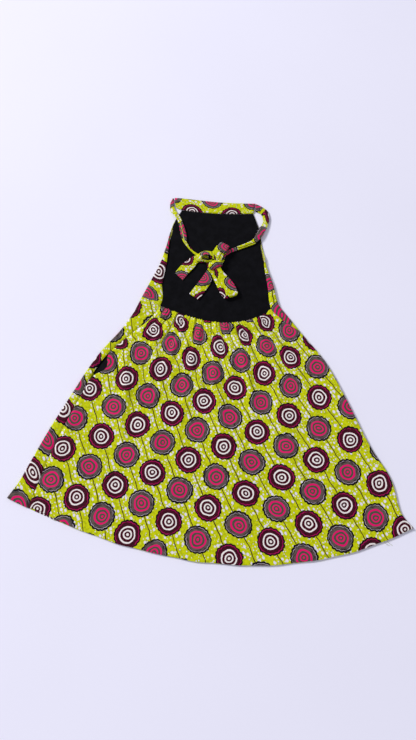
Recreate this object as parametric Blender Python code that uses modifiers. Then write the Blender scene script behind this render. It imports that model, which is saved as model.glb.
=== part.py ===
"""A child's halter dress in printed cotton, laid flat with its back up.

The front is one cloth that lies on the floor, folds up round both sides and comes over the top as
two flaps. The gathered back closes the skirt between the flaps. The bib above it is lined in black,
its neck band is tied through two straps in a bow, and a pocket bag shows in the left seam.
Tables are in millimetres, +X to the wearer's right, +Y from the hem to the neck, floor at zero.
"""

import math
from collections import namedtuple

import bmesh
import bpy
import numpy as np

MM = 0.001
COLLECTION = "halter_dress"

# Driving sizes, in millimetres.
CLOTH = 1.1
STRIP = 1.6
SEAM_GAP = 0.4
LAYER_GAP = 0.3
LINING = 1.0
BAND_THICK = 2.4
STRAP_THICK = 2.0
SETTLE = 14.0
SIDE_SEAM_TURN = 0.45
LIP = 3.0
SKIRT_LENGTH = 362.0
CASING = 20.0
SEAM_OVERLAP = 4.0
SEAM_FADE = 4.0
FLAP_SPREAD = 6.0
LINING_SIDE_GAP = 0.5
LINING_OPEN_INSET = 0.4
POCKET_SLIT = 5.5
POCKET_SLIT_PLACE = 0.655
POCKET_SLIT_REACH = 0.038
HEM_PEEK = 3.0
HEM_PEEK_X = -243.0
HEM_PEEK_REACH = 22.0
HEM_PEEK_PLACE = 0.07
HEM_PEEK_FADE = 8.0

# A gather's puff: its share over the whole casing, and where down the casing it is fullest. Its
# width is a share of the distance between its neighbours.
PUFF_BASE = 0.35
PUFF_CREST = 0.45
PUFF_REACH = 0.42
GATHER_WIDTH = 0.2

# How finely each part is divided.
SIDE_CELLS = 8
FLAP_CELLS = 3
FLOOR_CELLS = 10
SEAM_CELLS = 5
LINING_CELLS = 8
ROWS_PER_STEP = 3
LEAST_STEP = 3.0
STRIP_CELLS = 4
STRAP_CELLS = 2
RING_CELLS = 3
KNOT_LEVELS = 2

# Turns above this are whole folds; a flat edge is reckoned with the least turn.
WHOLE_TURN = 0.999
LEAST_TURN = 0.001
LINING_TURN_RATE = 4.0

# One row for each section across the dress: 0 is the hem, 1 the gathered edge, 2 the bib's top.
# The flaps are how far the front comes over the top, and the turn is how far its edge is folded.
Section = namedtuple(
    "Section",
    "place left_x left_y right_x right_y sag skew left_flap right_flap left_turn right_turn edge middle",
)
SECTIONS = (
    Section(0.00, -291.0, -200.5, 291.0, -242.5, 67.8, 0.15, 31.0, 0.0, 1.0, 1.0, 3.2, 2.2),
    Section(0.07, -276.0, -178.5, 275.0, -220.5, 65.0, 0.15, 28.0, 0.0, 1.0, 1.0, 3.4, 2.3),
    Section(0.16, -262.0, -150.0, 267.0, -180.0, 62.0, 0.15, 25.0, 0.0, 1.0, 1.0, 3.6, 2.4),
    Section(0.33, -236.0, -98.0, 239.0, -127.0, 56.0, 0.15, 20.0, 0.0, 1.0, 1.0, 4.2, 2.8),
    Section(0.50, -206.0, -44.0, 213.0, -66.0, 51.0, 0.17, 16.0, 0.0, 1.0, 1.0, 4.6, 3.5),
    Section(0.62, -184.0, -5.0, 194.0, -23.0, 48.0, 0.19, 11.5, 0.0, 1.0, 1.0, 4.8, 3.6),
    Section(0.70, -169.0, 18.0, 180.5, 3.0, 45.0, 0.20, 12.0, 0.0, 1.0, 1.0, 4.8, 3.6),
    Section(0.86, -133.0, 62.5, 145.0, 51.0, 40.0, 0.25, 13.5, 1.0, 1.0, 1.0, 4.8, 3.5),
    Section(0.93, -119.5, 84.0, 128.5, 74.0, 37.0, 0.30, 24.0, 8.0, 1.0, 1.0, 4.9, 3.4),
    Section(1.00, -106.5, 112.0, 111.0, 99.5, 34.0, 0.35, 30.0, 12.0, 1.0, 1.0, 5.0, 3.4),
    Section(1.20, -93.5, 139.5, 104.0, 132.5, 16.0, 0.20, 19.0, 9.5, 1.0, 1.0, 4.8, 3.4),
    Section(1.40, -79.0, 170.5, 94.5, 164.5, 8.0, 0.10, 10.5, 4.5, 1.0, 1.0, 4.4, 3.4),
    Section(1.60, -69.0, 204.5, 89.0, 197.5, 2.0, 0.0, 4.0, 1.0, 1.0, 0.3, 3.8, 3.4),
    Section(1.80, -60.5, 239.0, 84.5, 229.5, -1.0, 0.0, 0.0, 0.0, 0.1, 0.0, 3.4, 3.4),
    Section(2.00, -45.0, 269.5, 75.0, 262.5, 3.5, 0.0, 0.0, 0.0, 0.0, 0.0, 3.4, 3.4),
)

# One row for each gather along the elastic: where it stands between the two seams, how high it
# puffs over the casing, how high it goes on below, and how far down the skirt it reaches.
Gather = namedtuple("Gather", "across puff fold reach")
GATHERS = (
    Gather(0.027, 1.5, 1.0, 55.0),
    Gather(0.072, 2.2, 1.6, 80.0),
    Gather(0.136, 2.8, 2.7, 130.0),
    Gather(0.196, 2.3, 1.6, 70.0),
    Gather(0.250, 2.8, 2.9, 160.0),
    Gather(0.307, 2.9, 2.1, 90.0),
    Gather(0.371, 2.5, 3.2, 180.0),
    Gather(0.436, 3.0, 2.2, 80.0),
    Gather(0.511, 3.2, 3.4, 170.0),
    Gather(0.588, 2.8, 2.1, 85.0),
    Gather(0.650, 2.5, 2.8, 140.0),
    Gather(0.705, 2.9, 1.8, 70.0),
    Gather(0.762, 2.5, 3.1, 160.0),
    Gather(0.820, 2.8, 1.9, 80.0),
    Gather(0.880, 2.5, 2.4, 120.0),
    Gather(0.948, 1.9, 1.3, 60.0),
)
SKIRT_PLACES = (
    0.0, 0.07, 0.16, 0.27, 0.38, 0.46, 0.54, 0.59, 0.625, 0.66, 0.7, 0.75, 0.8, 0.85, 0.89, 0.92,
    0.945, 0.965, 0.985, 1.0,
)
BIB_PLACES = (1.1, 1.2, 1.3, 1.4, 1.5, 1.6, 1.7, 1.8, 1.9, 2.0)
LINING_PLACES = (0.89, 0.945, 1.0) + BIB_PLACES

# The pocket bag's edge, from the top of its opening round the bag to the bottom of the opening.
POCKET_EDGE = (
    (-113.0, 62.0), (-84.0, 46.0), (-62.0, 18.0), (-58.0, -18.0), (-72.0, -50.0), (-102.0, -70.0),
    (-138.0, -68.0), (-166.0, -46.0), (-176.0, -18.0), (-163.0, 8.0), (-146.0, 30.0), (-129.0, 50.0),
)

# A strip lies between two edges, A and B: one row for each section along it.
Strip = namedtuple("Strip", "ax ay bx by az bz")
NECK_BAND = (
    Strip(-55.0, 274.5, -57.2, 292.8, 1.2, 1.2),
    Strip(-48.5, 271.2, -49.5, 292.6, 1.2, 1.2),
    Strip(-38.0, 269.0, -38.5, 291.3, 1.2, 1.2),
    Strip(-12.0, 265.3, -13.0, 288.0, 1.2, 1.2),
    Strip(18.0, 262.8, 20.0, 284.2, 1.2, 1.2),
    Strip(48.0, 262.3, 52.0, 282.4, 1.2, 1.2),
    Strip(75.2, 263.2, 78.6, 281.9, 1.2, 1.2),
)
STRAP_LEFT = (
    Strip(-58.2, 291.0, -60.5, 291.4, 2.0, 1.4),
    Strip(-58.0, 280.0, -64.5, 280.0, 2.4, 1.5),
    Strip(-56.5, 270.5, -64.0, 268.5, 2.8, 2.0),
    Strip(-52.8, 264.5, -58.5, 260.5, 3.9, 3.6),
    Strip(-46.0, 252.5, -51.5, 248.5, 4.2, 4.2),
    Strip(-40.5, 237.5, -48.5, 237.0, 4.4, 3.8),
    Strip(-36.5, 222.0, -46.3, 224.0, 4.5, 3.8),
    Strip(-35.0, 208.0, -42.5, 211.5, 4.4, 3.8),
    Strip(-29.0, 198.5, -34.5, 199.0, 4.4, 3.9),
    Strip(-18.5, 188.0, -23.0, 186.5, 4.2, 3.8),
)
STRAP_RIGHT = (
    Strip(79.2, 280.8, 78.2, 267.0, 2.2, 1.4),
    Strip(90.0, 274.5, 85.5, 263.2, 2.6, 1.6),
    Strip(98.5, 266.5, 90.0, 256.0, 2.6, 1.8),
    Strip(101.0, 255.5, 90.5, 249.0, 2.6, 2.2),
    Strip(99.0, 242.0, 88.0, 240.5, 2.8, 3.2),
    Strip(94.0, 230.5, 83.0, 233.5, 3.7, 4.4),
    Strip(86.5, 217.0, 78.0, 223.0, 4.3, 4.7),
    Strip(76.0, 205.5, 72.5, 213.0, 3.9, 4.6),
    Strip(64.0, 200.5, 62.5, 207.0, 3.9, 4.6),
    Strip(46.5, 193.5, 44.5, 199.5, 3.8, 4.2),
    Strip(33.0, 187.5, 30.5, 193.0, 3.7, 3.7),
    Strip(27.0, 182.0, 22.6, 185.0, 3.7, 3.7),
    Strip(25.5, 175.0, 22.8, 175.0, 3.7, 3.7),
)
BOW_LOOP_UPPER = (
    Strip(11.5, 186.0, 22.5, 179.2, 6.0, 6.0),
    Strip(10.5, 192.5, 27.0, 185.5, 5.8, 5.8),
    Strip(15.5, 199.0, 30.5, 191.5, 5.8, 5.8),
    Strip(19.0, 203.5, 33.0, 196.0, 7.0, 7.0),
    Strip(20.5, 205.2, 34.0, 197.8, 9.2, 9.2),
    Strip(18.5, 203.0, 32.3, 195.6, 11.4, 11.2),
    Strip(13.0, 197.5, 29.0, 189.5, 12.0, 11.8),
    Strip(10.0, 190.5, 25.0, 183.5, 11.4, 11.2),
    Strip(12.0, 185.5, 22.0, 179.4, 9.6, 9.6),
)
BOW_LOOP_LOWER = (
    Strip(3.0, 156.6, 10.5, 155.4, 4.4, 4.4),
    Strip(7.5, 144.0, 21.0, 147.0, 3.8, 3.8),
    Strip(13.5, 130.0, 30.0, 137.0, 3.8, 3.8),
    Strip(20.5, 114.5, 37.0, 121.5, 3.8, 3.8),
    Strip(24.0, 110.6, 41.0, 116.8, 3.9, 3.9),
    Strip(24.9, 108.8, 42.4, 114.7, 4.6, 4.6),
    Strip(26.1, 107.9, 43.9, 113.8, 5.9, 5.9),
    Strip(27.3, 108.7, 45.2, 114.6, 7.2, 7.2),
    Strip(28.0, 110.6, 46.0, 116.6, 7.8, 7.8),
    Strip(26.0, 122.0, 42.0, 128.5, 7.8, 7.8),
    Strip(17.5, 138.0, 32.0, 143.5, 7.4, 7.4),
    Strip(11.5, 153.2, 20.5, 156.4, 7.6, 7.6),
)
BOW_TAIL_LEFT = (
    Strip(-24.5, 182.5, -17.5, 172.5, 3.8, 3.8),
    Strip(-34.0, 176.5, -23.0, 163.0, 4.2, 4.2),
    Strip(-44.5, 166.5, -32.0, 153.0, 4.6, 4.0),
    Strip(-54.5, 153.5, -41.5, 140.5, 3.7, 3.7),
)
BOW_TAIL_LOWER = (
    Strip(-2.5, 157.0, 1.5, 155.5, 5.0, 5.0),
    Strip(-8.5, 148.5, 5.2, 141.5, 4.0, 4.0),
    Strip(-18.5, 134.0, -2.5, 126.0, 4.6, 4.0),
    Strip(-31.0, 117.0, -16.0, 106.5, 3.7, 3.7),
)

# The small loop stands on its edge: one row for each point round it, seen from above.
Wall = namedtuple("Wall", "x y foot rim")
BOW_RING = (
    Wall(6.5, 175.3, 3.0, 11.6),
    Wall(0.5, 174.4, 2.8, 12.2),
    Wall(-6.0, 173.6, 2.8, 12.0),
    Wall(-12.0, 174.6, 2.8, 12.4),
    Wall(-15.2, 178.2, 2.8, 13.4),
    Wall(-13.0, 182.4, 2.8, 14.4),
    Wall(-7.5, 185.4, 2.8, 15.2),
    Wall(-1.5, 185.8, 2.8, 15.2),
    Wall(4.2, 183.4, 3.0, 14.2),
    Wall(9.2, 179.0, 3.4, 12.8),
)
KNOT_CENTRE = (11.4, 165.8, 7.3)
KNOT_SIZE = (25.0, 15.5, 11.2)
KNOT_TURN = 17.0

# Colours and roughness, from the cloth's own.
Cloth = namedtuple("Cloth", "name colour roughness")
PRINT = Cloth("wax_print_cotton", (0.42, 0.5, 0.02, 1.0), 0.75)
BLACK = Cloth("black_cotton", (0.006, 0.006, 0.008, 1.0), 0.8)


def clear_scene():
    """Removes every object that the file opened with."""
    for obj in list(bpy.data.objects):
        bpy.data.objects.remove(obj, do_unlink=True)


def cloth_material(cloth, piece):
    """Returns the piece's own material in the given cloth."""
    material = bpy.data.materials.new(f"{cloth.name}_{piece}")
    material.use_nodes = True
    shader = material.node_tree.nodes["Principled BSDF"]
    shader.inputs["Base Color"].default_value = cloth.colour
    shader.inputs["Roughness"].default_value = cloth.roughness
    shader.inputs["Metallic"].default_value = 0.0
    return material


def smooth_column(places, values, at):
    """Reads a table column between its rows, on a cubic that doesn't overshoot."""
    places = np.asarray(places, dtype=float)
    values = np.asarray(values, dtype=float)
    steps = np.diff(places)
    slopes = np.diff(values) / steps
    tangents = np.zeros_like(values)
    tangents[0] = slopes[0]
    tangents[-1] = slopes[-1]
    for i in range(1, len(values) - 1):
        if slopes[i - 1] * slopes[i] > 0:
            before = 2 * steps[i] + steps[i - 1]
            after = steps[i] + 2 * steps[i - 1]
            tangents[i] = (before + after) / (before / slopes[i - 1] + after / slopes[i])
    i = int(np.clip(np.searchsorted(places, at) - 1, 0, len(steps) - 1))
    t = (at - places[i]) / steps[i]
    start = (1 + 2 * t) * (1 - t) ** 2 * values[i] + t * (1 - t) ** 2 * steps[i] * tangents[i]
    end = t * t * (3 - 2 * t) * values[i + 1] + t * t * (t - 1) * steps[i] * tangents[i + 1]
    return float(start + end)


def section_at(place):
    """Returns the section at any place between the hem and the bib's top."""
    places = [row.place for row in SECTIONS]
    values = [
        smooth_column(places, [getattr(row, name) for row in SECTIONS], place)
        for name in Section._fields[1:]
    ]
    return Section(place, *values)


def bump(value, centre, reach):
    """Returns a bell that is 1 at its centre."""
    return math.exp(-(((value - centre) / reach) ** 2))


def on_section(section, x):
    """Returns the y of a section's curve at x: a chord that sags toward the hem."""
    middle = 0.5 * (section.left_x + section.right_x)
    half = 0.5 * (section.right_x - section.left_x)
    u = (x - middle) / half
    chord = 0.5 * ((1 - u) * section.left_y + (1 + u) * section.right_y)
    return chord - section.sag * (1 - u * u) * (1 + section.skew * u)


def fold_radius(section):
    """Returns the radius of the side folds, at the middle of the cloth."""
    return 0.5 * (section.edge - 0.5 * CLOTH)


def fold_inset(section):
    """Returns how far inside the outline a side fold begins."""
    return fold_radius(section) + 0.5 * CLOTH


def top_height(section, inset):
    """Returns the top layer's height: full at the fold, settled further in."""
    beyond = max(0.0, inset - fold_inset(section))
    return section.middle + (section.edge - section.middle) * bump(beyond, 0.0, SETTLE)


def front_reach(section, flap, turn):
    """Returns how far the front runs round the side, measured from the floor."""
    around = math.pi * fold_radius(section)
    share = min(1.0, flap / fold_inset(section))
    folded = around * (SIDE_SEAM_TURN + (1 - SIDE_SEAM_TURN) * share)
    folded += max(0.0, flap - fold_inset(section))
    return LIP + (folded - LIP) * turn


def round_side(section, distance, turn, reach):
    """Returns a point round the side as its inset from the outline and its height."""
    radius = fold_radius(section)
    floor = 0.5 * CLOTH
    if turn > WHOLE_TURN:
        angle = distance / radius
        if angle <= math.pi:
            return fold_inset(section) - radius * math.sin(angle), floor + radius * (1 - math.cos(angle))
        inset = fold_inset(section) + distance - math.pi * radius
        return inset, top_height(section, inset)
    bend = max(turn, LEAST_TURN) / radius
    widest = min(reach * bend, 0.5 * math.pi)
    start = math.sin(widest) / bend + floor * math.sin(widest)
    angle = distance * bend
    return start - math.sin(angle) / bend, floor + (1 - math.cos(angle)) / bend


def side_distances(section, reach, turn):
    """Spaces points round a side: close on the fold, wider on the flap."""
    around = min(reach, math.pi * fold_radius(section))
    bent = SIDE_CELLS - FLAP_CELLS
    spread = min(1.0, max(0.0, (reach - around) / FLAP_SPREAD)) * turn
    distances = []
    for i in range(SIDE_CELLS + 1):
        even = reach * i / SIDE_CELLS
        if i <= bent:
            folded = around * i / bent
        else:
            folded = around + (reach - around) * (i - bent) / FLAP_CELLS
        distances.append((1 - spread) * even + spread * folded)
    return distances


def front_row(place):
    """Returns the front's points on one section, from flap to flap along the floor."""
    section = section_at(place)
    sides = []
    for edge_x, inward, flap, turn in (
        (section.left_x, 1.0, section.left_flap, section.left_turn),
        (section.right_x, -1.0, section.right_flap, section.right_turn),
    ):
        reach = front_reach(section, flap, turn)
        points = []
        for distance in side_distances(section, reach, turn):
            inset, height = round_side(section, distance, turn, reach)
            points.append((edge_x + inward * inset, height))
        sides.append(points)
    left, right = sides
    across = np.linspace(left[0][0], right[0][0], FLOOR_CELLS + 1)[1:-1]
    floor = [(x, 0.5 * CLOTH) for x in across]
    return [(x, on_section(section, x), height) for x, height in left[::-1] + floor + right]


def gather_height(across, below):
    """Returns the gathers' height at a share of the width and a distance below the edge."""
    total = 0.0
    for i, gather in enumerate(GATHERS):
        before = GATHERS[i - 1].across if i else 0.0
        after = GATHERS[i + 1].across if i + 1 < len(GATHERS) else 1.0
        width = GATHER_WIDTH * (after - before)
        fullness = PUFF_BASE + (1 - PUFF_BASE) * bump(below, PUFF_CREST * CASING, PUFF_REACH * CASING)
        puff = gather.puff * fullness
        fold = gather.fold * bump(below, CASING, gather.reach)
        share = min(1.0, below / CASING) ** 2
        total += ((1 - share) * puff + share * fold) * bump(across, gather.across, width)
    return total


def gather_columns():
    """Returns the shares of the width where the back has its points: crests, dips and sides."""
    crests = [gather.across for gather in GATHERS]
    dips = [0.5 * (a + b) for a, b in zip(crests, crests[1:])]
    corners = sorted(crests + dips + [0.0, 1.0])
    halves = [0.5 * (a + b) for a, b in zip(corners, corners[1:])]
    return sorted(corners + halves)


def back_row(place):
    """Returns the back's points on one section, from seam to seam, gathers included."""
    section = section_at(place)
    slit = POCKET_SLIT * bump(place, POCKET_SLIT_PLACE, POCKET_SLIT_REACH)
    left_inset, _ = round_side(section, front_reach(section, section.left_flap, 1.0), 1.0, 0.0)
    start_x = section.left_x + left_inset + SEAM_GAP + slit
    seam = front_reach(section, section.right_flap, 1.0) + SEAM_GAP
    last = max(math.pi * fold_radius(section), seam + SEAM_OVERLAP)
    side = []
    for distance in np.linspace(last, seam, SEAM_CELLS + 1):
        inset, height = round_side(section, distance, 1.0, 0.0)
        side.append((section.right_x - inset, height))
    end_x = side[0][0]
    below = (1.0 - place) * SKIRT_LENGTH
    points = []
    for across in gather_columns():
        x = start_x + across * (end_x - start_x)
        inset = min(x - section.left_x, section.right_x - x)
        settled = min(1.0, (x - start_x) / SEAM_FADE) * min(1.0, (end_x - x) / SEAM_FADE)
        points.append((x, top_height(section, inset) + settled * gather_height(across, below)))
    points += side[1:]
    lift = HEM_PEEK * max(0.0, 1.0 - place / HEM_PEEK_PLACE)
    row = []
    for x, height in points:
        peek = bump(x, HEM_PEEK_X, HEM_PEEK_REACH) * min(1.0, (x - start_x) / HEM_PEEK_FADE)
        row.append((x, on_section(section, x) + lift * peek, height))
    return row


def lining_row(place):
    """Returns the lining's points on one section, inside the front's side folds."""
    section = section_at(place)
    edges = []
    for edge_x, inward, turn in (
        (section.left_x, 1.0, section.left_turn),
        (section.right_x, -1.0, section.right_turn),
    ):
        folding = min(1.0, LINING_TURN_RATE * turn)
        folded = max(fold_inset(section), LIP * folding) + LINING_SIDE_GAP
        inset = LINING_OPEN_INSET + (folded - LINING_OPEN_INSET) * folding
        edges.append(edge_x + inward * inset)
    height = CLOTH + LAYER_GAP + 0.5 * LINING
    trim = SEAM_GAP if place == BIB_PLACES[-1] else 0.0
    across = np.linspace(edges[0], edges[1], LINING_CELLS + 1)
    return [(x, on_section(section, x) - trim, height) for x in across]


def mesh_object(name, cloth, build, collection):
    """Makes an object from a function that fills a bmesh, in metres."""
    bm = bmesh.new()
    build(bm)
    bmesh.ops.recalc_face_normals(bm, faces=bm.faces)
    mesh = bpy.data.meshes.new(name)
    bm.to_mesh(mesh)
    bm.free()
    mesh.shade_smooth()
    mesh.materials.append(cloth_material(cloth, name))
    obj = bpy.data.objects.new(name, mesh)
    collection.objects.link(obj)
    return obj


def add_wall(obj, thickness):
    """Gives an open surface its cloth's thickness, half to each side."""
    wall = obj.modifiers.new("wall", "SOLIDIFY")
    wall.thickness = thickness * MM
    wall.offset = 0.0
    wall.use_even_offset = True
    wall.use_rim = True
    return wall


def sheet_object(name, cloth, rows, thickness, collection):
    """Makes a cloth wall from rows of points, all with the same number of points."""

    def build(bm):
        grid = [[bm.verts.new([c * MM for c in point]) for point in row] for row in rows]
        for low, high in zip(grid, grid[1:]):
            for i in range(len(low) - 1):
                bm.faces.new((low[i], low[i + 1], high[i + 1], high[i]))

    obj = mesh_object(name, cloth, build, collection)
    add_wall(obj, thickness)
    return obj


def spread_rows(table):
    """Fills in rows between a table's rows, on smooth curves through them."""
    places = [0.0]
    for one, two in zip(table, table[1:]):
        step = max(math.dist(one[0:2], two[0:2]), math.dist(one[2:4], two[2:4]), LEAST_STEP)
        places.append(places[-1] + step)
    steps = (len(table) - 1) * ROWS_PER_STEP
    ends = np.interp(np.linspace(0, len(table) - 1, steps + 1), range(len(table)), places)
    fields = list(zip(*table))
    return [[smooth_column(places, field, at) for field in fields] for at in ends]


def strip_object(name, table, thickness, cells, collection):
    """Makes a flat strip of cloth from a table of its two edges."""
    rows = []
    for ax, ay, bx, by, az, bz in spread_rows(table):
        shares = np.linspace(0.0, 1.0, cells + 1)
        rows.append([(ax + (bx - ax) * t, ay + (by - ay) * t, az + (bz - az) * t) for t in shares])
    return sheet_object(name, PRINT, rows, thickness, collection)


def ring_object(name, collection):
    """Makes the small bow loop, a strip that stands on its edge."""
    rows = []
    for x, y, foot, rim in spread_rows(BOW_RING):
        rows.append([(x, y, foot + (rim - foot) * t) for t in np.linspace(0.0, 1.0, RING_CELLS + 1)])
    return sheet_object(name, PRINT, rows, STRIP, collection)


def pocket_object(name, collection):
    """Makes the pocket bag, a flat pouch with a smooth edge."""

    def build(bm):
        corners = np.array(POCKET_EDGE)
        count = len(corners)
        edge = []
        for i in range(count):
            before, start, end, after = (corners[(i + k) % count] for k in (-1, 0, 1, 2))
            for t in (0.0, 0.5):
                point = 0.5 * (
                    2 * start + (end - before) * t
                    + (2 * before - 5 * start + 4 * end - after) * t * t
                    + (3 * start - before - 3 * end + after) * t ** 3
                )
                edge.append(point)
        height = CLOTH + LAYER_GAP + 0.5 * LINING
        ring = [bm.verts.new((x * MM, y * MM, height * MM)) for x, y in edge]
        middle = np.mean(edge, axis=0)
        centre = bm.verts.new((middle[0] * MM, middle[1] * MM, height * MM))
        for one, two in zip(ring, ring[1:] + ring[:1]):
            bm.faces.new((centre, one, two))

    obj = mesh_object(name, BLACK, build, collection)
    add_wall(obj, LINING)
    return obj


def knot_object(name, collection):
    """Makes the bow's knot, a soft block from a coarse cage."""

    def build(bm):
        bmesh.ops.create_cube(bm, size=1.0)
        for vert in bm.verts:
            vert.co = [c * size * MM for c, size in zip(vert.co, KNOT_SIZE)]

    obj = mesh_object(name, PRINT, build, collection)
    obj.location = [c * MM for c in KNOT_CENTRE]
    obj.rotation_euler.z = math.radians(KNOT_TURN)
    soft = obj.modifiers.new("soft", "SUBSURF")
    soft.levels = KNOT_LEVELS
    soft.render_levels = KNOT_LEVELS
    return obj


def build_dress():
    """Builds every piece of the dress."""
    collection = bpy.data.collections.new(COLLECTION)
    bpy.context.scene.collection.children.link(collection)
    sheet_object("front_panel", PRINT, [front_row(p) for p in SKIRT_PLACES + BIB_PLACES], CLOTH, collection)
    sheet_object("back_panel", PRINT, [back_row(p) for p in SKIRT_PLACES], CLOTH, collection)
    sheet_object("bib_lining", BLACK, [lining_row(p) for p in LINING_PLACES], LINING, collection)
    pocket_object("pocket_bag", collection)
    strip_object("neck_band", NECK_BAND, BAND_THICK, STRIP_CELLS, collection)
    strip_object("strap_left", STRAP_LEFT, STRAP_THICK, STRAP_CELLS, collection)
    strip_object("strap_right", STRAP_RIGHT, STRAP_THICK, STRAP_CELLS, collection)
    strip_object("bow_loop_upper", BOW_LOOP_UPPER, STRIP, STRIP_CELLS, collection)
    strip_object("bow_loop_lower", BOW_LOOP_LOWER, STRIP, STRIP_CELLS, collection)
    strip_object("bow_tail_left", BOW_TAIL_LEFT, STRIP, STRIP_CELLS, collection)
    strip_object("bow_tail_lower", BOW_TAIL_LOWER, STRIP, STRIP_CELLS, collection)
    ring_object("bow_ring", collection)
    knot_object("bow_knot", collection)


clear_scene()
build_dress()
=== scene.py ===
"""A child's halter dress in wax print cotton, laid flat with its gathered back up.

The tables are in millimetres: +X to the right seen from above, +Y from the hem to the neck, and
the floor at zero. Every cloth surface is a grid whose points are laid on the dress's form, with a
UV map that counts the print's columns and rows, so that the print follows the cloth.
"""

import logging
import math
from collections.abc import Sequence
from dataclasses import dataclass, field, fields
from enum import Enum

import bmesh
import bpy
import numpy as np
from mathutils import Matrix, Vector


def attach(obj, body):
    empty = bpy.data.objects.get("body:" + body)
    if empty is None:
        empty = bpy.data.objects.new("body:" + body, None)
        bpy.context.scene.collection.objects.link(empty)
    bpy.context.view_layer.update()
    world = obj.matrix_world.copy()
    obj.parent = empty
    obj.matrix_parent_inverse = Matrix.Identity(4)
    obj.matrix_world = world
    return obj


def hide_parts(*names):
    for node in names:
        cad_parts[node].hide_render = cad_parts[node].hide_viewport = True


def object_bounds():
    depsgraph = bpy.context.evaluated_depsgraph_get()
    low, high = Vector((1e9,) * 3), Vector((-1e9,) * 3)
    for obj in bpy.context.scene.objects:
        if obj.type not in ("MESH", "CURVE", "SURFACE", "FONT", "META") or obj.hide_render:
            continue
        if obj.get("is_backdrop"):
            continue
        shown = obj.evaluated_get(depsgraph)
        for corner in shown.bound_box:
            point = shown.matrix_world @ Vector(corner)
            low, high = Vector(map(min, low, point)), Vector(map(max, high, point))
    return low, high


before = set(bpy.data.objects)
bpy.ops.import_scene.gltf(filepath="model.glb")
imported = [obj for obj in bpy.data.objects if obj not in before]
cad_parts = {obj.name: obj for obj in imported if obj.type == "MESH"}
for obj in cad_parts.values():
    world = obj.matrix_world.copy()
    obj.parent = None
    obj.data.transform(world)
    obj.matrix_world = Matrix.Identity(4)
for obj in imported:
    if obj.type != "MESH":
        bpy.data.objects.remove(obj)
CAD_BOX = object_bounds()

LOG = logging.getLogger("halter_dress")
MM = 0.001
BODY = "root"
PRINT_MAP = "print"
GIVE_MAP = "give"
COLUMN_PITCH = 66.0
ROW_PITCH = 77.0
SOFT_EDGE = 0.2
FULL_TURN = 2 * math.pi
UP = Vector((0.0, 0.0, 1.0))

Array = np.ndarray
Piece = bpy.types.Object
Socket = bpy.types.NodeSocket
Triple = tuple[float, float, float]


@dataclass(frozen=True)
class Section:
    """One section across the dress: place 0 is the hem, 1 the gathered edge, 2 the bib's top."""

    place: float
    left_x: float
    left_y: float
    right_x: float
    right_y: float
    sag: float
    skew: float
    left_flap: float
    right_flap: float
    edge: float
    middle: float
    left_turn: float = 1.0
    right_turn: float = 1.0


SECTIONS = tuple(Section(*row) for row in (
    (0, -291, -200.5, 291, -242.5, 67.8, 0.15, 31, 0, 3.2, 2.2),
    (0.07, -276, -178.5, 275, -220.5, 65, 0.15, 25, 0, 3.4, 2.3),
    (0.16, -262, -150, 267, -180, 62, 0.15, 21, 0, 3.6, 2.4),
    (0.33, -236, -98, 239, -127, 56, 0.15, 16, 0, 4.2, 2.8),
    (0.5, -206, -44, 213, -66, 51, 0.17, 12.4, 0, 4.6, 3.5),
    (0.62, -184, -5, 194, -23, 48, 0.19, 9.8, 0, 4.8, 3.6),
    (0.7, -169, 18, 180.5, 3, 45, 0.2, 10.4, 0, 4.8, 3.6),
    (0.86, -133, 62.5, 145, 51, 40, 0.25, 17.2, 1, 4.8, 3.5),
    (0.93, -119.5, 84, 128.5, 74, 37, 0.3, 25, 8, 4.9, 3.4),
    (1, -106.5, 112, 111, 99.5, 34, 0.35, 30, 12, 5, 3.4),
    (1.2, -93.5, 139.5, 104, 132.5, 16, 0.2, 19, 9.5, 4.8, 3.4),
    (1.4, -79, 170.5, 94.5, 164.5, 8, 0.1, 10.5, 4.5, 4.4, 3.4),
    (1.6, -69, 204.5, 89, 197.5, 2, 0, 4, 1, 3.8, 3.4, 1, 0.3),
    (1.8, -60.5, 239, 84.5, 229.5, -1, 0, 0, 0, 3.4, 3.4, 0.1, 0),
    (2, -45, 269.5, 75, 262.5, 3.5, 0, 0, 0, 3.4, 3.4, 0, 0),
))


@dataclass(frozen=True)
class Gather:
    """One gather: its share of the width, its puff over the casing, and its fold below."""

    across: float
    puff: float
    fold: float
    reach: float


GATHERS = tuple(Gather(*row) for row in (
    (0.027, 1.5, 1, 55), (0.072, 2.2, 1.6, 80), (0.136, 2.8, 2.7, 130), (0.196, 2.3, 1.6, 70),
    (0.25, 2.8, 2.9, 160), (0.307, 2.9, 2.1, 90), (0.371, 2.5, 3.2, 180), (0.436, 3, 2.2, 80),
    (0.511, 3.2, 3.4, 170), (0.588, 2.8, 2.1, 85), (0.65, 2.5, 2.8, 140), (0.705, 2.9, 1.8, 70),
    (0.762, 2.5, 3.1, 160), (0.82, 2.8, 1.9, 80), (0.88, 2.5, 2.4, 120), (0.948, 1.9, 1.3, 60),
))


@dataclass(frozen=True)
class Crease:
    """One soft fold seen from above: where it runs, how wide and how high it is, and its bend."""

    start_x: float
    start_y: float
    end_x: float
    end_y: float
    width: float
    height: float
    bend: float = 0.0

    def rise(self, xs: Array, ys: Array) -> Array:
        """Works out the fold's height, which fades out at the fold's ends.

        Args:
            xs: the points' x.
            ys: the points' y.

        Returns:
            The height at each point.
        """
        run_x, run_y = self.end_x - self.start_x, self.end_y - self.start_y
        length = math.hypot(run_x, run_y)
        along = ((xs - self.start_x) * run_x + (ys - self.start_y) * run_y) / length**2
        aside = ((ys - self.start_y) * run_x - (xs - self.start_x) * run_y) / length
        inside = np.clip(along, 0.0, 1.0)
        aside = aside - self.bend * 4.0 * inside * (1.0 - inside)
        fade = np.sin(math.pi * inside) ** 0.8
        return self.height * fade * np.exp(-((aside / self.width) ** 2))


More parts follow.
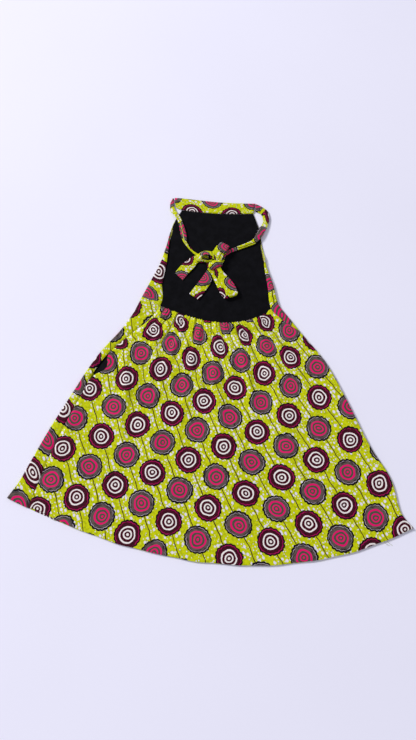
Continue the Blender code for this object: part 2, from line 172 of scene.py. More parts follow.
def relief(creases: Sequence[Crease], xs: Array, ys: Array) -> Array:
    """Returns the height of all the folds at each point."""
    return sum(crease.rise(xs, ys) for crease in creases)


class SmoothColumn:
    """A table column read between its rows, on a cubic that doesn't overshoot."""

    def __init__(self, places: Sequence[float], values: Sequence[float]) -> None:
        """Works out the slope at each row.

        Args:
            places: the rows' places, in order.
            values: the column's values there.
        """
        self.places = np.asarray(places, dtype=float)
        self.values = np.asarray(values, dtype=float)
        self.steps = np.diff(self.places)
        slopes = np.diff(self.values) / self.steps
        self.tangents = np.zeros_like(self.values)
        self.tangents[0], self.tangents[-1] = slopes[0], slopes[-1]
        for i in range(1, len(self.values) - 1):
            if slopes[i - 1] * slopes[i] > 0:
                before = 2 * self.steps[i] + self.steps[i - 1]
                after = self.steps[i] + 2 * self.steps[i - 1]
                self.tangents[i] = (before + after) / (before / slopes[i - 1] + after / slopes[i])

    def at(self, place: float) -> float:
        """Reads the column between its rows.

        Args:
            place: where to read it.

        Returns:
            The value there.
        """
        i = int(np.clip(np.searchsorted(self.places, place) - 1, 0, len(self.steps) - 1))
        step = self.steps[i]
        t = (place - self.places[i]) / step
        start = (1 + 2 * t) * (1 - t) ** 2 * self.values[i] + t * (1 - t) ** 2 * step * self.tangents[i]
        end = t * t * (3 - 2 * t) * self.values[i + 1] + t * t * (t - 1) * step * self.tangents[i + 1]
        return float(start + end)


@dataclass
class ClothRow:
    """One row of a cloth grid: its points in millimetres, and the print's column and row at each.

    The give is how many times closer than on flat cloth the print's columns and rows lie there,
    where folds hide some of the cloth between the discs.
    """

    xs: Array
    ys: Array
    zs: Array
    columns: Array
    rows: Array
    wide_give: Array | None = None
    long_give: Array | None = None

    @classmethod
    def ring(cls, points: Sequence[Vector], columns: Sequence[float], rows: Sequence[float]) -> "ClothRow":
        """Returns a row through points."""
        xs, ys, zs = (np.array([point[axis] for point in points]) for axis in range(3))
        return cls(xs, ys, zs, np.array(columns), np.array(rows))


def bell(values: Array | float, centre: float, reach: float) -> Array | float:
    """Returns a bell that is 1 at its centre."""
    return np.exp(-(((values - centre) / reach) ** 2))


def ring_angles(cells: int, start: float = 0.0) -> list[float]:
    """Returns the angles round a closed ring, the last the same as the first."""
    return [FULL_TURN * (k % cells) / cells + start for k in range(cells + 1)]


def ease(values: Array | float) -> Array | float:
    """Returns a smooth step from 0 to 1."""
    t = np.clip(values, 0.0, 1.0)
    return t * t * (3 - 2 * t)


@dataclass
class DressForm:
    """The form that the dress's panels are laid on.

    Its sections, side folds and gathers repeat the solid model's, for a thinner cloth.
    """

    cloth: float = 0.8
    settle: float = 14.0
    seam_turn: float = 0.45
    lip: float = 3.0
    length: float = 362.0
    casing: float = 20.0
    fold_gap: float = 0.55
    columns: dict[str, SmoothColumn] = field(init=False)

    def __post_init__(self) -> None:
        """Prepares the section table's columns."""
        places = [row.place for row in SECTIONS]
        names = [item.name for item in fields(Section)][1:]
        self.columns = {n: SmoothColumn(places, [getattr(row, n) for row in SECTIONS]) for n in names}

    def section(self, place: float) -> Section:
        """Returns the section at any place between the hem and the bib's top."""
        return Section(place, **{name: column.at(place) for name, column in self.columns.items()})

    def curve_y(self, section: Section, xs: Array | float) -> Array | float:
        """Works out a section's curve: a chord that sags toward the hem.

        Args:
            section: the section the points are on.
            xs: the points' x.

        Returns:
            The points' y.
        """
        middle = 0.5 * (section.left_x + section.right_x)
        u = (xs - middle) / (0.5 * (section.right_x - section.left_x))
        chord = 0.5 * ((1 - u) * section.left_y + (1 + u) * section.right_y)
        return chord - section.sag * (1 - u * u) * (1 + section.skew * u)

    def fold_radius(self, section: Section) -> float:
        """Returns the radius of the side folds, at the middle of the cloth."""
        return 0.5 * (section.edge - 0.5 * self.cloth)

    def fold_inset(self, section: Section) -> float:
        """Returns how far inside the outline a side fold begins."""
        return self.fold_radius(section) + self.fold_gap

    def top_height(self, section: Section, insets: Array) -> Array:
        """Returns the top layer's height: full at the fold, settled further in."""
        beyond = np.maximum(0.0, insets - self.fold_inset(section))
        return section.middle + (section.edge - section.middle) * bell(beyond, 0.0, self.settle)

    def reach(self, section: Section, flap: float, turn: float) -> float:
        """Works out how far the front runs round the side.

        Args:
            section: the section the points are on.
            flap: how far the flap runs in from the outline.
            turn: how far the side is folded over: 1 all the way, 0 not at all.

        Returns:
            The distance along the cloth from the floor.
        """
        around = math.pi * self.fold_radius(section)
        share = min(1.0, flap / self.fold_inset(section))
        folded = around * (self.seam_turn + (1 - self.seam_turn) * share)
        folded += max(0.0, flap - self.fold_inset(section))
        return self.lip + (folded - self.lip) * turn

    def round_side(self, section: Section, distance: float, turn: float, reach: float) -> tuple[float, float]:
        """Works out a point round the side.

        Args:
            section: the section the points are on.
            distance: how far round the side it is, along the cloth.
            turn: how far the side is folded over: 1 all the way, 0 not at all.
            reach: how far round the side the cloth runs in all.

        Returns:
            Its inset from the outline and its height.
        """
        radius, floor = self.fold_radius(section), 0.5 * self.cloth
        if turn > 0.999:
            angle = distance / radius
            if angle <= math.pi:
                inset = self.fold_inset(section) - radius * math.sin(angle)
                return inset, floor + radius * (1 - math.cos(angle))
            inset = self.fold_inset(section) + distance - math.pi * radius
            return inset, float(self.top_height(section, np.array(inset)))
        bend = max(turn, 0.001) / radius
        widest = min(reach * bend, 0.5 * math.pi)
        start = math.sin(widest) / bend + self.fold_gap * math.sin(widest)
        angle = distance * bend
        return start - math.sin(angle) / bend, floor + (1 - math.cos(angle)) / bend


class Weave(Enum):
    """How fine a cloth's threads are, in millimetres from one to the next."""

    PRINT_COTTON = 0.55
    LINING_COTTON = 0.45


class NodeBench:
    """Wires a material's nodes."""

    def __init__(self, name: str) -> None:
        """Starts a material with one Principled shader.

        Args:
            name: the material's name.
        """
        self.material = bpy.data.materials.new(name)
        self.material.use_nodes = True
        self.tree = self.material.node_tree
        self.shader = self.tree.nodes["Principled BSDF"]

    def feed(self, node: bpy.types.Node, sources: dict[str | int, object]) -> None:
        """Links or sets a node's inputs.

        Args:
            node: the node.
            sources: a socket or a value for each input's name or number.
        """
        for key, source in sources.items():
            if isinstance(source, Socket):
                self.tree.links.new(source, node.inputs[key])
            else:
                node.inputs[key].default_value = source

    def add(self, kind: str, *sources: object, **settings: object) -> bpy.types.Node:
        """Adds a node.

        Args:
            kind: the node's type, without its prefix.
            sources: sockets or values for its first inputs.
            settings: its own properties.

        Returns:
            The node.
        """
        node = self.tree.nodes.new(f"ShaderNode{kind}")
        for key, value in settings.items():
            setattr(node, key, value)
        self.feed(node, dict(enumerate(sources)))
        return node

    def maths(self, operation: str, *sources: object) -> Socket:
        """Returns the result of a Math node."""
        return self.add("Math", *sources, operation=operation).outputs[0]

    def vector(self, operation: str, *sources: object) -> Socket:
        """Returns the result of a Vector Math node."""
        node = self.add("VectorMath", *sources, operation=operation)
        return node.outputs["Value" if operation in ("LENGTH", "DOT_PRODUCT") else "Vector"]

    def noise(self, place: Socket, scale: float, detail: float = 2.0, output: str = "Fac") -> Socket:
        """Adds a noise texture.

        Args:
            place: the coordinates it reads.
            scale: how fine it is.
            detail: how many finer layers it has.
            output: which output to read.

        Returns:
            The output.
        """
        node = self.add("TexNoise")
        self.feed(node, {"Vector": place, "Scale": scale, "Detail": detail})
        return node.outputs[output]

    def span(self, value: Socket, low: float, high: float, start: float = 0.0, end: float = 1.0) -> Socket:
        """Returns a value moved smoothly from the range low to high into the range start to end."""
        node = self.add("MapRange", value, low, high, start, end, interpolation_type="SMOOTHSTEP")
        return node.outputs[0]

    def bands(self, value: Socket, stops: Sequence[tuple[float, Triple]]) -> Socket:
        """Colours a value by the band that it falls in.

        Args:
            value: the value.
            stops: where each band begins, and its colour.

        Returns:
            The colour.
        """
        node = self.add("ValToRGB", value)
        ramp = node.color_ramp
        ramp.interpolation = "CONSTANT"
        while len(ramp.elements) < len(stops):
            ramp.elements.new(0.5)
        for element, (position, colour) in zip(ramp.elements, stops):
            element.position = position
            element.color = (*colour, 1.0)
        return node.outputs[0]

    def blend(self, share: Socket, one: object, two: object) -> Socket:
        """Lays one colour over another.

        Args:
            share: how much of the second shows.
            one: the first colour.
            two: the second colour.

        Returns:
            The mixed colour.
        """
        node = self.add("Mix", share, data_type="RGBA")
        for key, source in ((6, one), (7, two)):
            self.feed(node, {key: (*source, 1.0) if isinstance(source, tuple) else source})
        return node.outputs[2]

    def flat(self) -> tuple[Socket, Socket]:
        """Returns the place on the cloth in the print's repeats, and in millimetres."""
        uv = self.add("UVMap", uv_map=PRINT_MAP).outputs[0]
        return uv, self.vector("MULTIPLY", uv, (COLUMN_PITCH, ROW_PITCH, 0.0))

    def bump(self, height: Socket, strength: float, distance: float) -> None:
        """Gives the shader relief, over the relief that it has.

        Args:
            height: the relief's height.
            strength: how strongly it shows.
            distance: how deep it is, in metres.
        """
        node = self.add("Bump")
        self.feed(node, {"Strength": strength, "Distance": distance, "Height": height})
        for link in self.shader.inputs["Normal"].links:
            self.feed(node, {"Normal": link.from_socket})
        self.feed(self.shader, {"Normal": node.outputs[0]})

    def weave_bump(self, place: Socket, weave: Weave, soft: float) -> None:
        """Gives the shader the relief of a plain weave with soft crumples.

        Args:
            place: the cloth's own coordinates, in millimetres.
            weave: how fine the threads are.
            soft: how strongly the crumples stand out.
        """
        split = self.add("SeparateXYZ", place)
        turns = FULL_TURN / weave.value
        warp, weft = (self.maths("SINE", self.maths("MULTIPLY", split.outputs[i], turns)) for i in range(2))
        threads = self.maths("MULTIPLY", self.maths("MULTIPLY", warp, weft), 0.5)
        slub = self.maths("MULTIPLY", self.noise(place, 0.9, 3.0), 1.4)
        self.bump(self.maths("ADD", threads, slub), 0.5, 0.00006)
        self.bump(self.noise(place, 0.045), soft, 0.0012)


@dataclass(frozen=True)
class DiscInk:
    """The colours of one kind of printed disc, from its middle to its scalloped rim."""

    rings: tuple[tuple[float, Triple], ...]
    streak: Triple


CHALK, WINE = (0.78, 0.73, 0.72), (0.046, 0.0, 0.007)
PINK, SLATE = (0.68, 0.0, 0.125), (0.066, 0.068, 0.048)
MAROON_DISC = DiscInk(
    (
        (0.0, CHALK), (0.085, WINE), (0.205, CHALK), (0.31, WINE), (0.475, CHALK),
        (0.575, (0.052, 0.0, 0.010)), (0.815, (0.34, 0.0, 0.080)), (0.88, (0.003, 0.001, 0.003)),
    ),
    (0.008, 0.0, 0.001),
)
GREY_DISC = DiscInk(
    (
        (0.0, PINK), (0.085, SLATE), (0.205, PINK), (0.305, SLATE), (0.46, PINK),
        (0.585, (0.105, 0.078, 0.070)), (0.795, (0.016, 0.010, 0.014)),
        (0.83, (0.5, 0.43, 0.49)), (0.862, (0.003, 0.002, 0.004)),
    ),
    (0.014, 0.009, 0.010),
)


@dataclass(frozen=True)
class WaxPrint:
    """Lime wax print cotton with two kinds of ringed disc, bubbles and thin column lines."""

    ground: Triple = (0.53, 0.575, 0.0)
    ground_shade: Triple = (0.35, 0.395, 0.0)
    ground_light: Triple = (0.69, 0.72, 0.0)
    bubble: Triple = (0.7, 0.66, 0.8)
    line: Triple = (0.050, 0.028, 0.006)
    line_half_width: float = 0.7
    radius: float = 20.0
    scallops: int = 18
    roughness: float = 0.8

    def disc(self, bench: NodeBench, place: Socket, ink: DiscInk, shift: float) -> tuple[Socket, ...]:
        """Draws one kind of disc over the whole cloth.

        Args:
            bench: the material being wired.
            place: the cloth's coordinates in the print's repeats, with their wobble.
            ink: the disc's colours.
            shift: how far its columns and rows are moved, in repeats.

        Returns:
            The disc's colour, its mask, the resist spots just outside its rim, and the distance
            from its column's line in millimetres.
        """
        maths, vector, span = bench.maths, bench.vector, bench.span
        moved = vector("ADD", place, (shift, shift, 0.0))
        nearest = vector("FLOOR", vector("ADD", moved, (0.5, 0.5, 0.0)))
        apart = vector("MULTIPLY", vector("SUBTRACT", moved, nearest), (COLUMN_PITCH, ROW_PITCH, 0.0))
        cell = vector("DIVIDE", apart, bench.add("UVMap", uv_map=GIVE_MAP).outputs[0])
        aside, along, _ = bench.add("SeparateXYZ", cell).outputs
        share = maths("DIVIDE", vector("LENGTH", cell), self.radius)
        angle = maths("ARCTAN2", along, aside)
        lobes = maths("ABSOLUTE", maths("COSINE", maths("MULTIPLY", angle, 0.5 * self.scallops)))
        cusp = maths("SUBTRACT", 1.0, maths("POWER", lobes, 0.85))
        bite = maths("MULTIPLY", cusp, span(share, 0.62, 0.9, 0.012, 0.066))
        ring = maths("MULTIPLY", share, maths("ADD", 1.0, bite))
        seed = vector("DOT_PRODUCT", nearest, (3.7, 5.3, 0.0))
        polar = bench.add("CombineXYZ", maths("MULTIPLY", ring, 16.0), maths("MULTIPLY", angle, 2.2), seed)
        outer = maths("MULTIPLY", span(ring, 0.62, 0.66), span(ring, 0.9, 0.93, 1.0, 0.0))
        streaks = maths("MULTIPLY", span(bench.noise(polar.outputs[0], 1.0), 0.5, 0.6), outer)
        streaked = bench.blend(maths("MULTIPLY", streaks, 0.85), bench.bands(ring, ink.rings), ink.streak)
        halo = maths("MULTIPLY", maths("GREATER_THAN", ring, 1.02), maths("LESS_THAN", ring, 1.11))
        spots = maths("GREATER_THAN", bench.noise(polar.outputs[0], 0.9, 1.0), 0.73)
        mask, rim = maths("LESS_THAN", ring, 1.0), maths("MULTIPLY", halo, spots)
        return streaked, mask, rim, maths("ABSOLUTE", aside)

    def bubbles(self, bench: NodeBench, flat: Socket, aside: Socket, pitch: float, biggest: float) -> Socket:
        """Draws the resist bubbles that run beside each column line.

        Args:
            bench: the material being wired.
            flat: the cloth's coordinates, in millimetres.
            aside: the distance from the nearest column line.
            pitch: how far apart the bubbles lie.
            biggest: the largest one's radius, in pitches.

        Returns:
            The bubbles' mask.
        """
        cells = bench.add("TexVoronoi", voronoi_dimensions="2D", feature="F1")
        stretched = bench.vector("MULTIPLY", flat, (1.0 / pitch, 0.84 / pitch, 0.0))
        bench.feed(cells, {"Vector": stretched, "Scale": 1.0, "Randomness": 0.75})
        pick = bench.add("SeparateColor", cells.outputs["Color"]).outputs[0]
        beside = bench.maths("ABSOLUTE", bench.maths("SUBTRACT", aside, 7.0))
        stream = bench.span(beside, 3.5, 7.5, 1.0, 0.25)
        size = bench.maths("MULTIPLY", bench.span(pick, 0.3, 0.85, 0.0, biggest), stream)
        return bench.maths("LESS_THAN", cells.outputs["Distance"], size)

    def wobble(self, bench: NodeBench, flat: Socket, scale: float, reach: Triple) -> Socket:
        """Returns how far the print strays, in repeats."""
        stray = bench.vector("SUBTRACT", bench.noise(flat, scale, 1.0, "Color"), (0.5, 0.5, 0.5))
        return bench.vector("MULTIPLY", stray, reach)

    def material(self, name: str) -> bpy.types.Material:
        """Wires the cloth's material, which reads the piece's own print map.

        Args:
            name: the material's name.

        Returns:
            The material.
        """
        bench = NodeBench(name)
        maths, blend = bench.maths, bench.blend
        uv, flat = bench.flat()
        broad = self.wobble(bench, flat, 0.052, (0.078, 0.066, 0.0))
        fine = self.wobble(bench, flat, 0.3, (0.014, 0.012, 0.0))
        place = bench.vector("ADD", uv, bench.vector("ADD", broad, fine))
        maroon, maroon_mask, maroon_rim, maroon_line = self.disc(bench, place, MAROON_DISC, 0.0)
        grey, grey_mask, grey_rim, grey_line = self.disc(bench, place, GREY_DISC, 0.5)
        aside = maths("MINIMUM", maroon_line, grey_line)
        shade = bench.span(bench.noise(flat, 0.22, 3.0), 0.4, 0.68)
        light = bench.span(bench.noise(flat, 0.5), 0.55, 0.75, 0.0, 0.8)
        mottled = blend(light, blend(shade, self.ground, self.ground_shade), self.ground_light)
        large, small = (self.bubbles(bench, flat, aside, *size) for size in ((5.9, 0.35), (4.3, 0.22)))
        spots = maths("MAXIMUM", maths("MAXIMUM", large, small), maths("MAXIMUM", maroon_rim, grey_rim))
        dotted = blend(spots, mottled, self.bubble)
        lined = blend(maths("LESS_THAN", aside, self.line_half_width), dotted, self.line)
        inked = blend(grey_mask, blend(maroon_mask, lined, maroon), grey)
        rough = bench.span(bench.noise(flat, 0.25), 0.3, 0.7, self.roughness - 0.06, self.roughness + 0.05)
        bench.feed(bench.shader, {
            "Base Color": inked, "Roughness": rough, "Specular IOR Level": 0.14, "Sheen Weight": 0.012,
            "Sheen Roughness": 0.5,
        })
        bench.weave_bump(flat, Weave.PRINT_COTTON, 0.35)
        return bench.material


@dataclass(frozen=True)
class BlackCotton:
    """Matt black lining cotton."""

    black: Triple = (0.0020, 0.0020, 0.0030)
    faded: Triple = (0.0040, 0.0040, 0.0058)
    lint: Triple = (0.010, 0.010, 0.013)
    roughness: float = 0.86

    def material(self, name: str) -> bpy.types.Material:
        """Wires the lining's material.

        Args:
            name: the material's name.

        Returns:
            The material.
        """
        bench = NodeBench(name)
        _, flat = bench.flat()
        colour = bench.blend(bench.span(bench.noise(flat, 0.08, 3.0), 0.3, 0.75), self.black, self.faded)
        lint = bench.span(bench.noise(flat, 1.6), 0.7, 0.8, 0.0, 0.5)
        rough = bench.span(bench.noise(flat, 0.2), 0.3, 0.7, self.roughness - 0.05, self.roughness + 0.04)
        base = bench.blend(lint, colour, self.lint)
        bench.feed(bench.shader, {"Base Color": base, "Roughness": rough, "Specular IOR Level": 0.07})
        bench.weave_bump(flat, Weave.LINING_COTTON, 0.3)
        return bench.material


@dataclass(frozen=True)
class SewingThread:
    """Twisted sewing thread, a little darker than the cloth it holds."""

    colour: Triple = (0.3, 0.34, 0.01)
    dark: Triple = (0.16, 0.18, 0.01)
    roughness: float = 0.7

    def material(self, name: str) -> bpy.types.Material:
        """Wires the thread's material.

        Args:
            name: the material's name.

        Returns:
            The material.
        """
        bench = NodeBench(name)
        place = bench.add("TexCoord").outputs["Object"]
        share = bench.span(bench.noise(place, 900.0), 0.35, 0.7)
        colour = bench.blend(share, self.colour, self.dark)
        bench.feed(bench.shader, {"Base Color": colour, "Roughness": self.roughness})
        bench.bump(bench.noise(place, 2500.0), 0.4, 0.00005)
        return bench.material


@dataclass
class Outfit:
    """Hands out materials and puts finished pieces in the frame."""

    made: dict[str, bpy.types.Material] = field(default_factory=dict)

    def finish(self, obj: Piece, cloth: object, slot: str, node: str | None = None) -> Piece:
        """Dresses a piece and puts it on the body.

        Args:
            obj: the piece.
            cloth: the finish it is made of.
            slot: the record's material slot.
            node: the solid it stands for, if any.

        Returns:
            The piece.
        """
        name = f"{type(cloth).__name__}_{slot}"
        if name not in self.made:
            self.made[name] = cloth.material(name)
        obj.data.materials.append(self.made[name])
        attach(obj, BODY)
        if node:
            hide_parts(node)
        LOG.info("%s: %d faces before its modifiers", obj.name, len(obj.data.polygons))
        return obj


def link_mesh(name: str, bm: bmesh.types.BMesh) -> Piece:
    """Makes an object of a bmesh, smooth shaded, and frees the bmesh.

    Args:
        name: the object's name.
        bm: the bmesh.

    Returns:
        The object.
    """
    mesh = bpy.data.meshes.new(name)
    bm.to_mesh(mesh)
    bm.free()
    mesh.shade_smooth()
    obj = bpy.data.objects.new(name, mesh)
    bpy.context.scene.collection.objects.link(obj)
    return obj


def cloth_object(name: str, rows: Sequence[ClothRow], closed: bool = False) -> Piece:
    """Lays a grid on rows of points.

    Args:
        name: the piece's name.
        rows: the points, with the print's column and row at each.
        closed: whether each row closes into a ring.

    Returns:
        The cloth's surface, with its print map.
    """
    wide, tall = len(rows[0].xs), len(rows)
    bm = bmesh.new()
    bmesh.ops.create_grid(bm, x_segments=wide - 1, y_segments=tall - 1, size=1.0)
    layers = [bm.loops.layers.uv.new(key) for key in (PRINT_MAP, GIVE_MAP)]
    lies: dict[int, tuple[tuple[float, float], ...]] = {}
    bm.verts.index_update()
    for vert in bm.verts:
        i = round((vert.co.x + 1) / 2 * (wide - 1))
        row = rows[round((vert.co.y + 1) / 2 * (tall - 1))]
        give = (1.0, 1.0) if row.wide_give is None else (row.wide_give[i], row.long_give[i])
        lies[vert.index] = ((row.columns[i], row.rows[i]), give)
        vert.co = (row.xs[i] * MM, row.ys[i] * MM, row.zs[i] * MM)
    for face in bm.faces:
        for loop in face.loops:
            for layer, lie in zip(layers, lies[loop.vert.index]):
                loop[layer].uv = lie
    if closed:
        bmesh.ops.remove_doubles(bm, verts=bm.verts, dist=0.01 * MM)
        bmesh.ops.recalc_face_normals(bm, faces=bm.faces)
    return link_mesh(name, bm)


def thicken(obj: Piece, thickness: float, offset: float = 0.0, bevel: float = 0.0) -> None:
    """Gives a surface its cloth's thickness.

    Args:
        obj: the surface.
        thickness: the cloth's thickness, in millimetres.
        offset: which way the cloth grows: -1 inward, 0 both ways.
        bevel: the width of its soft edges, in millimetres.
    """
    wall = obj.modifiers.new("cloth", "SOLIDIFY")
    wall.thickness = thickness * MM
    wall.offset = offset
    wall.use_even_offset = True
    wall.use_rim = True
    if bevel:
        soft = obj.modifiers.new("soft_edge", "BEVEL")
        soft.width = bevel * MM
        soft.segments = 2
        soft.limit_method = "ANGLE"
        soft.angle_limit = math.radians(60)


@dataclass
class Panel:
    """What the dress's panels share."""

    form: DressForm
    outfit: Outfit

    def row(self, place: float) -> ClothRow:
        """Returns one row of the panel."""
        raise NotImplementedError

    def lay(self, name: str, places: Sequence[float], thickness: float, bevel: float = 0.0) -> Piece:
        """Lays the panel's rows as a cloth.

        Args:
            name: the object's name.
            places: the rows' places.
            thickness: the cloth's thickness, in millimetres.
            bevel: the width of its soft edges, in millimetres.

        Returns:
            The panel.
        """
        obj = cloth_object(name, [self.row(float(place)) for place in places])
        thicken(obj, thickness, bevel=bevel)
        return obj


# How the print lies on the back: its column and row as quartics in x and y, in units of 100 mm.
BACK_COLUMNS = (
    1.4697, 0.6336, -0.0032, 0.0273, 0.0088, 1.976, 0.3275, 0.1199, 0.0256, -0.0097, 0.0295, 0.0088,
    -0.0416, -0.0192, 0.0013,
)
BACK_ROWS = (
    1.7371, 1.3472, 0.0852, 0.0345, 0.0046, -0.5747, -0.1182, -0.0515, -0.0104, -0.0778, -0.0446,
    -0.0099, -0.0014, 0.0027, 0.0001,
)
QUARTIC_UNIT = 100


def quartic(terms: Sequence[float], xs: Array, ys: Array) -> Array:
    """Returns a quartic in x and y, whose terms are ordered by the power of x and then of y."""
    powers = [(i, j) for i in range(5) for j in range(5 - i)]
    return sum(term * xs**i * ys**j for term, (i, j) in zip(terms, powers))


def steepness(terms: Sequence[float], xs: Array, ys: Array) -> Array:
    """Works out how fast a quartic changes with distance, the steepest way.

    Args:
        terms: the quartic's terms.
        xs: the points' x.
        ys: the points' y.

    Returns:
        The change over one unit.
    """
    step = 0.01
    along = (quartic(terms, xs + step, ys) - quartic(terms, xs - step, ys)) / (2 * step)
    aside = (quartic(terms, xs, ys + step) - quartic(terms, xs, ys - step)) / (2 * step)
    return np.hypot(along, aside)


# The skirt's long folds, which run down from the gathers and die out, and its slack wrinkles.
BACK_CREASES = tuple(Crease(*row) for row in (
    (-131, 34, -124, -80, 5.5, 3, 2), (-141, 24, -137, -60, 3.6, -2.3),
    (-135, -74, -119, -128, 4.8, 2.2, -2), (-34, 12, -4, -58, 4.4, 2.6, 2),
    (-40, 4, -13, -60, 3.2, -2.1, 2), (12, 38, 28, -36, 3.6, -2.5), (20, 42, 38, -32, 4.2, 2.4),
    (-78, 62, -96, -58, 6, 1.9, 3), (-88, 52, -112, -20, 4, -1.3), (-50, 50, -58, -40, 5, 1.3, -2),
    (-18, 48, -26, -50, 5, -1.4, 3), (8, 46, 12, -70, 6.5, 1.9, -3), (26, 48, 34, -20, 4, -1.4),
    (46, 46, 66, -60, 6, 1.6, 3), (62, 50, 92, -30, 5, -1.3), (78, 54, 120, -40, 6, 1.7, -4),
    (96, 60, 150, -12, 6, -1.2), (-120, 10, -150, -110, 12, 1.4, 6), (-60, -60, -86, -190, 14, 1.4, -6),
    (20, -80, 30, -220, 16, 1.3, 6), (100, -60, 150, -200, 15, 1.4, -7),
    (170, -30, 235, -150, 13, 1.3, 5), (-190, -60, -230, -160, 11, 1.1, -4),
    (-150, -150, -110, -232, 14, -1, 5), (60, -180, 96, -270, 13, -1, 4),
    (190, -180, 214, -254, 12, -1, -4), (-30, -190, -44, -266, 12, -1, 3),
    (-210, -150, -232, -205, 9, 1.4, 3), (-236, -150, -250, -196, 7, -1, 2),
))


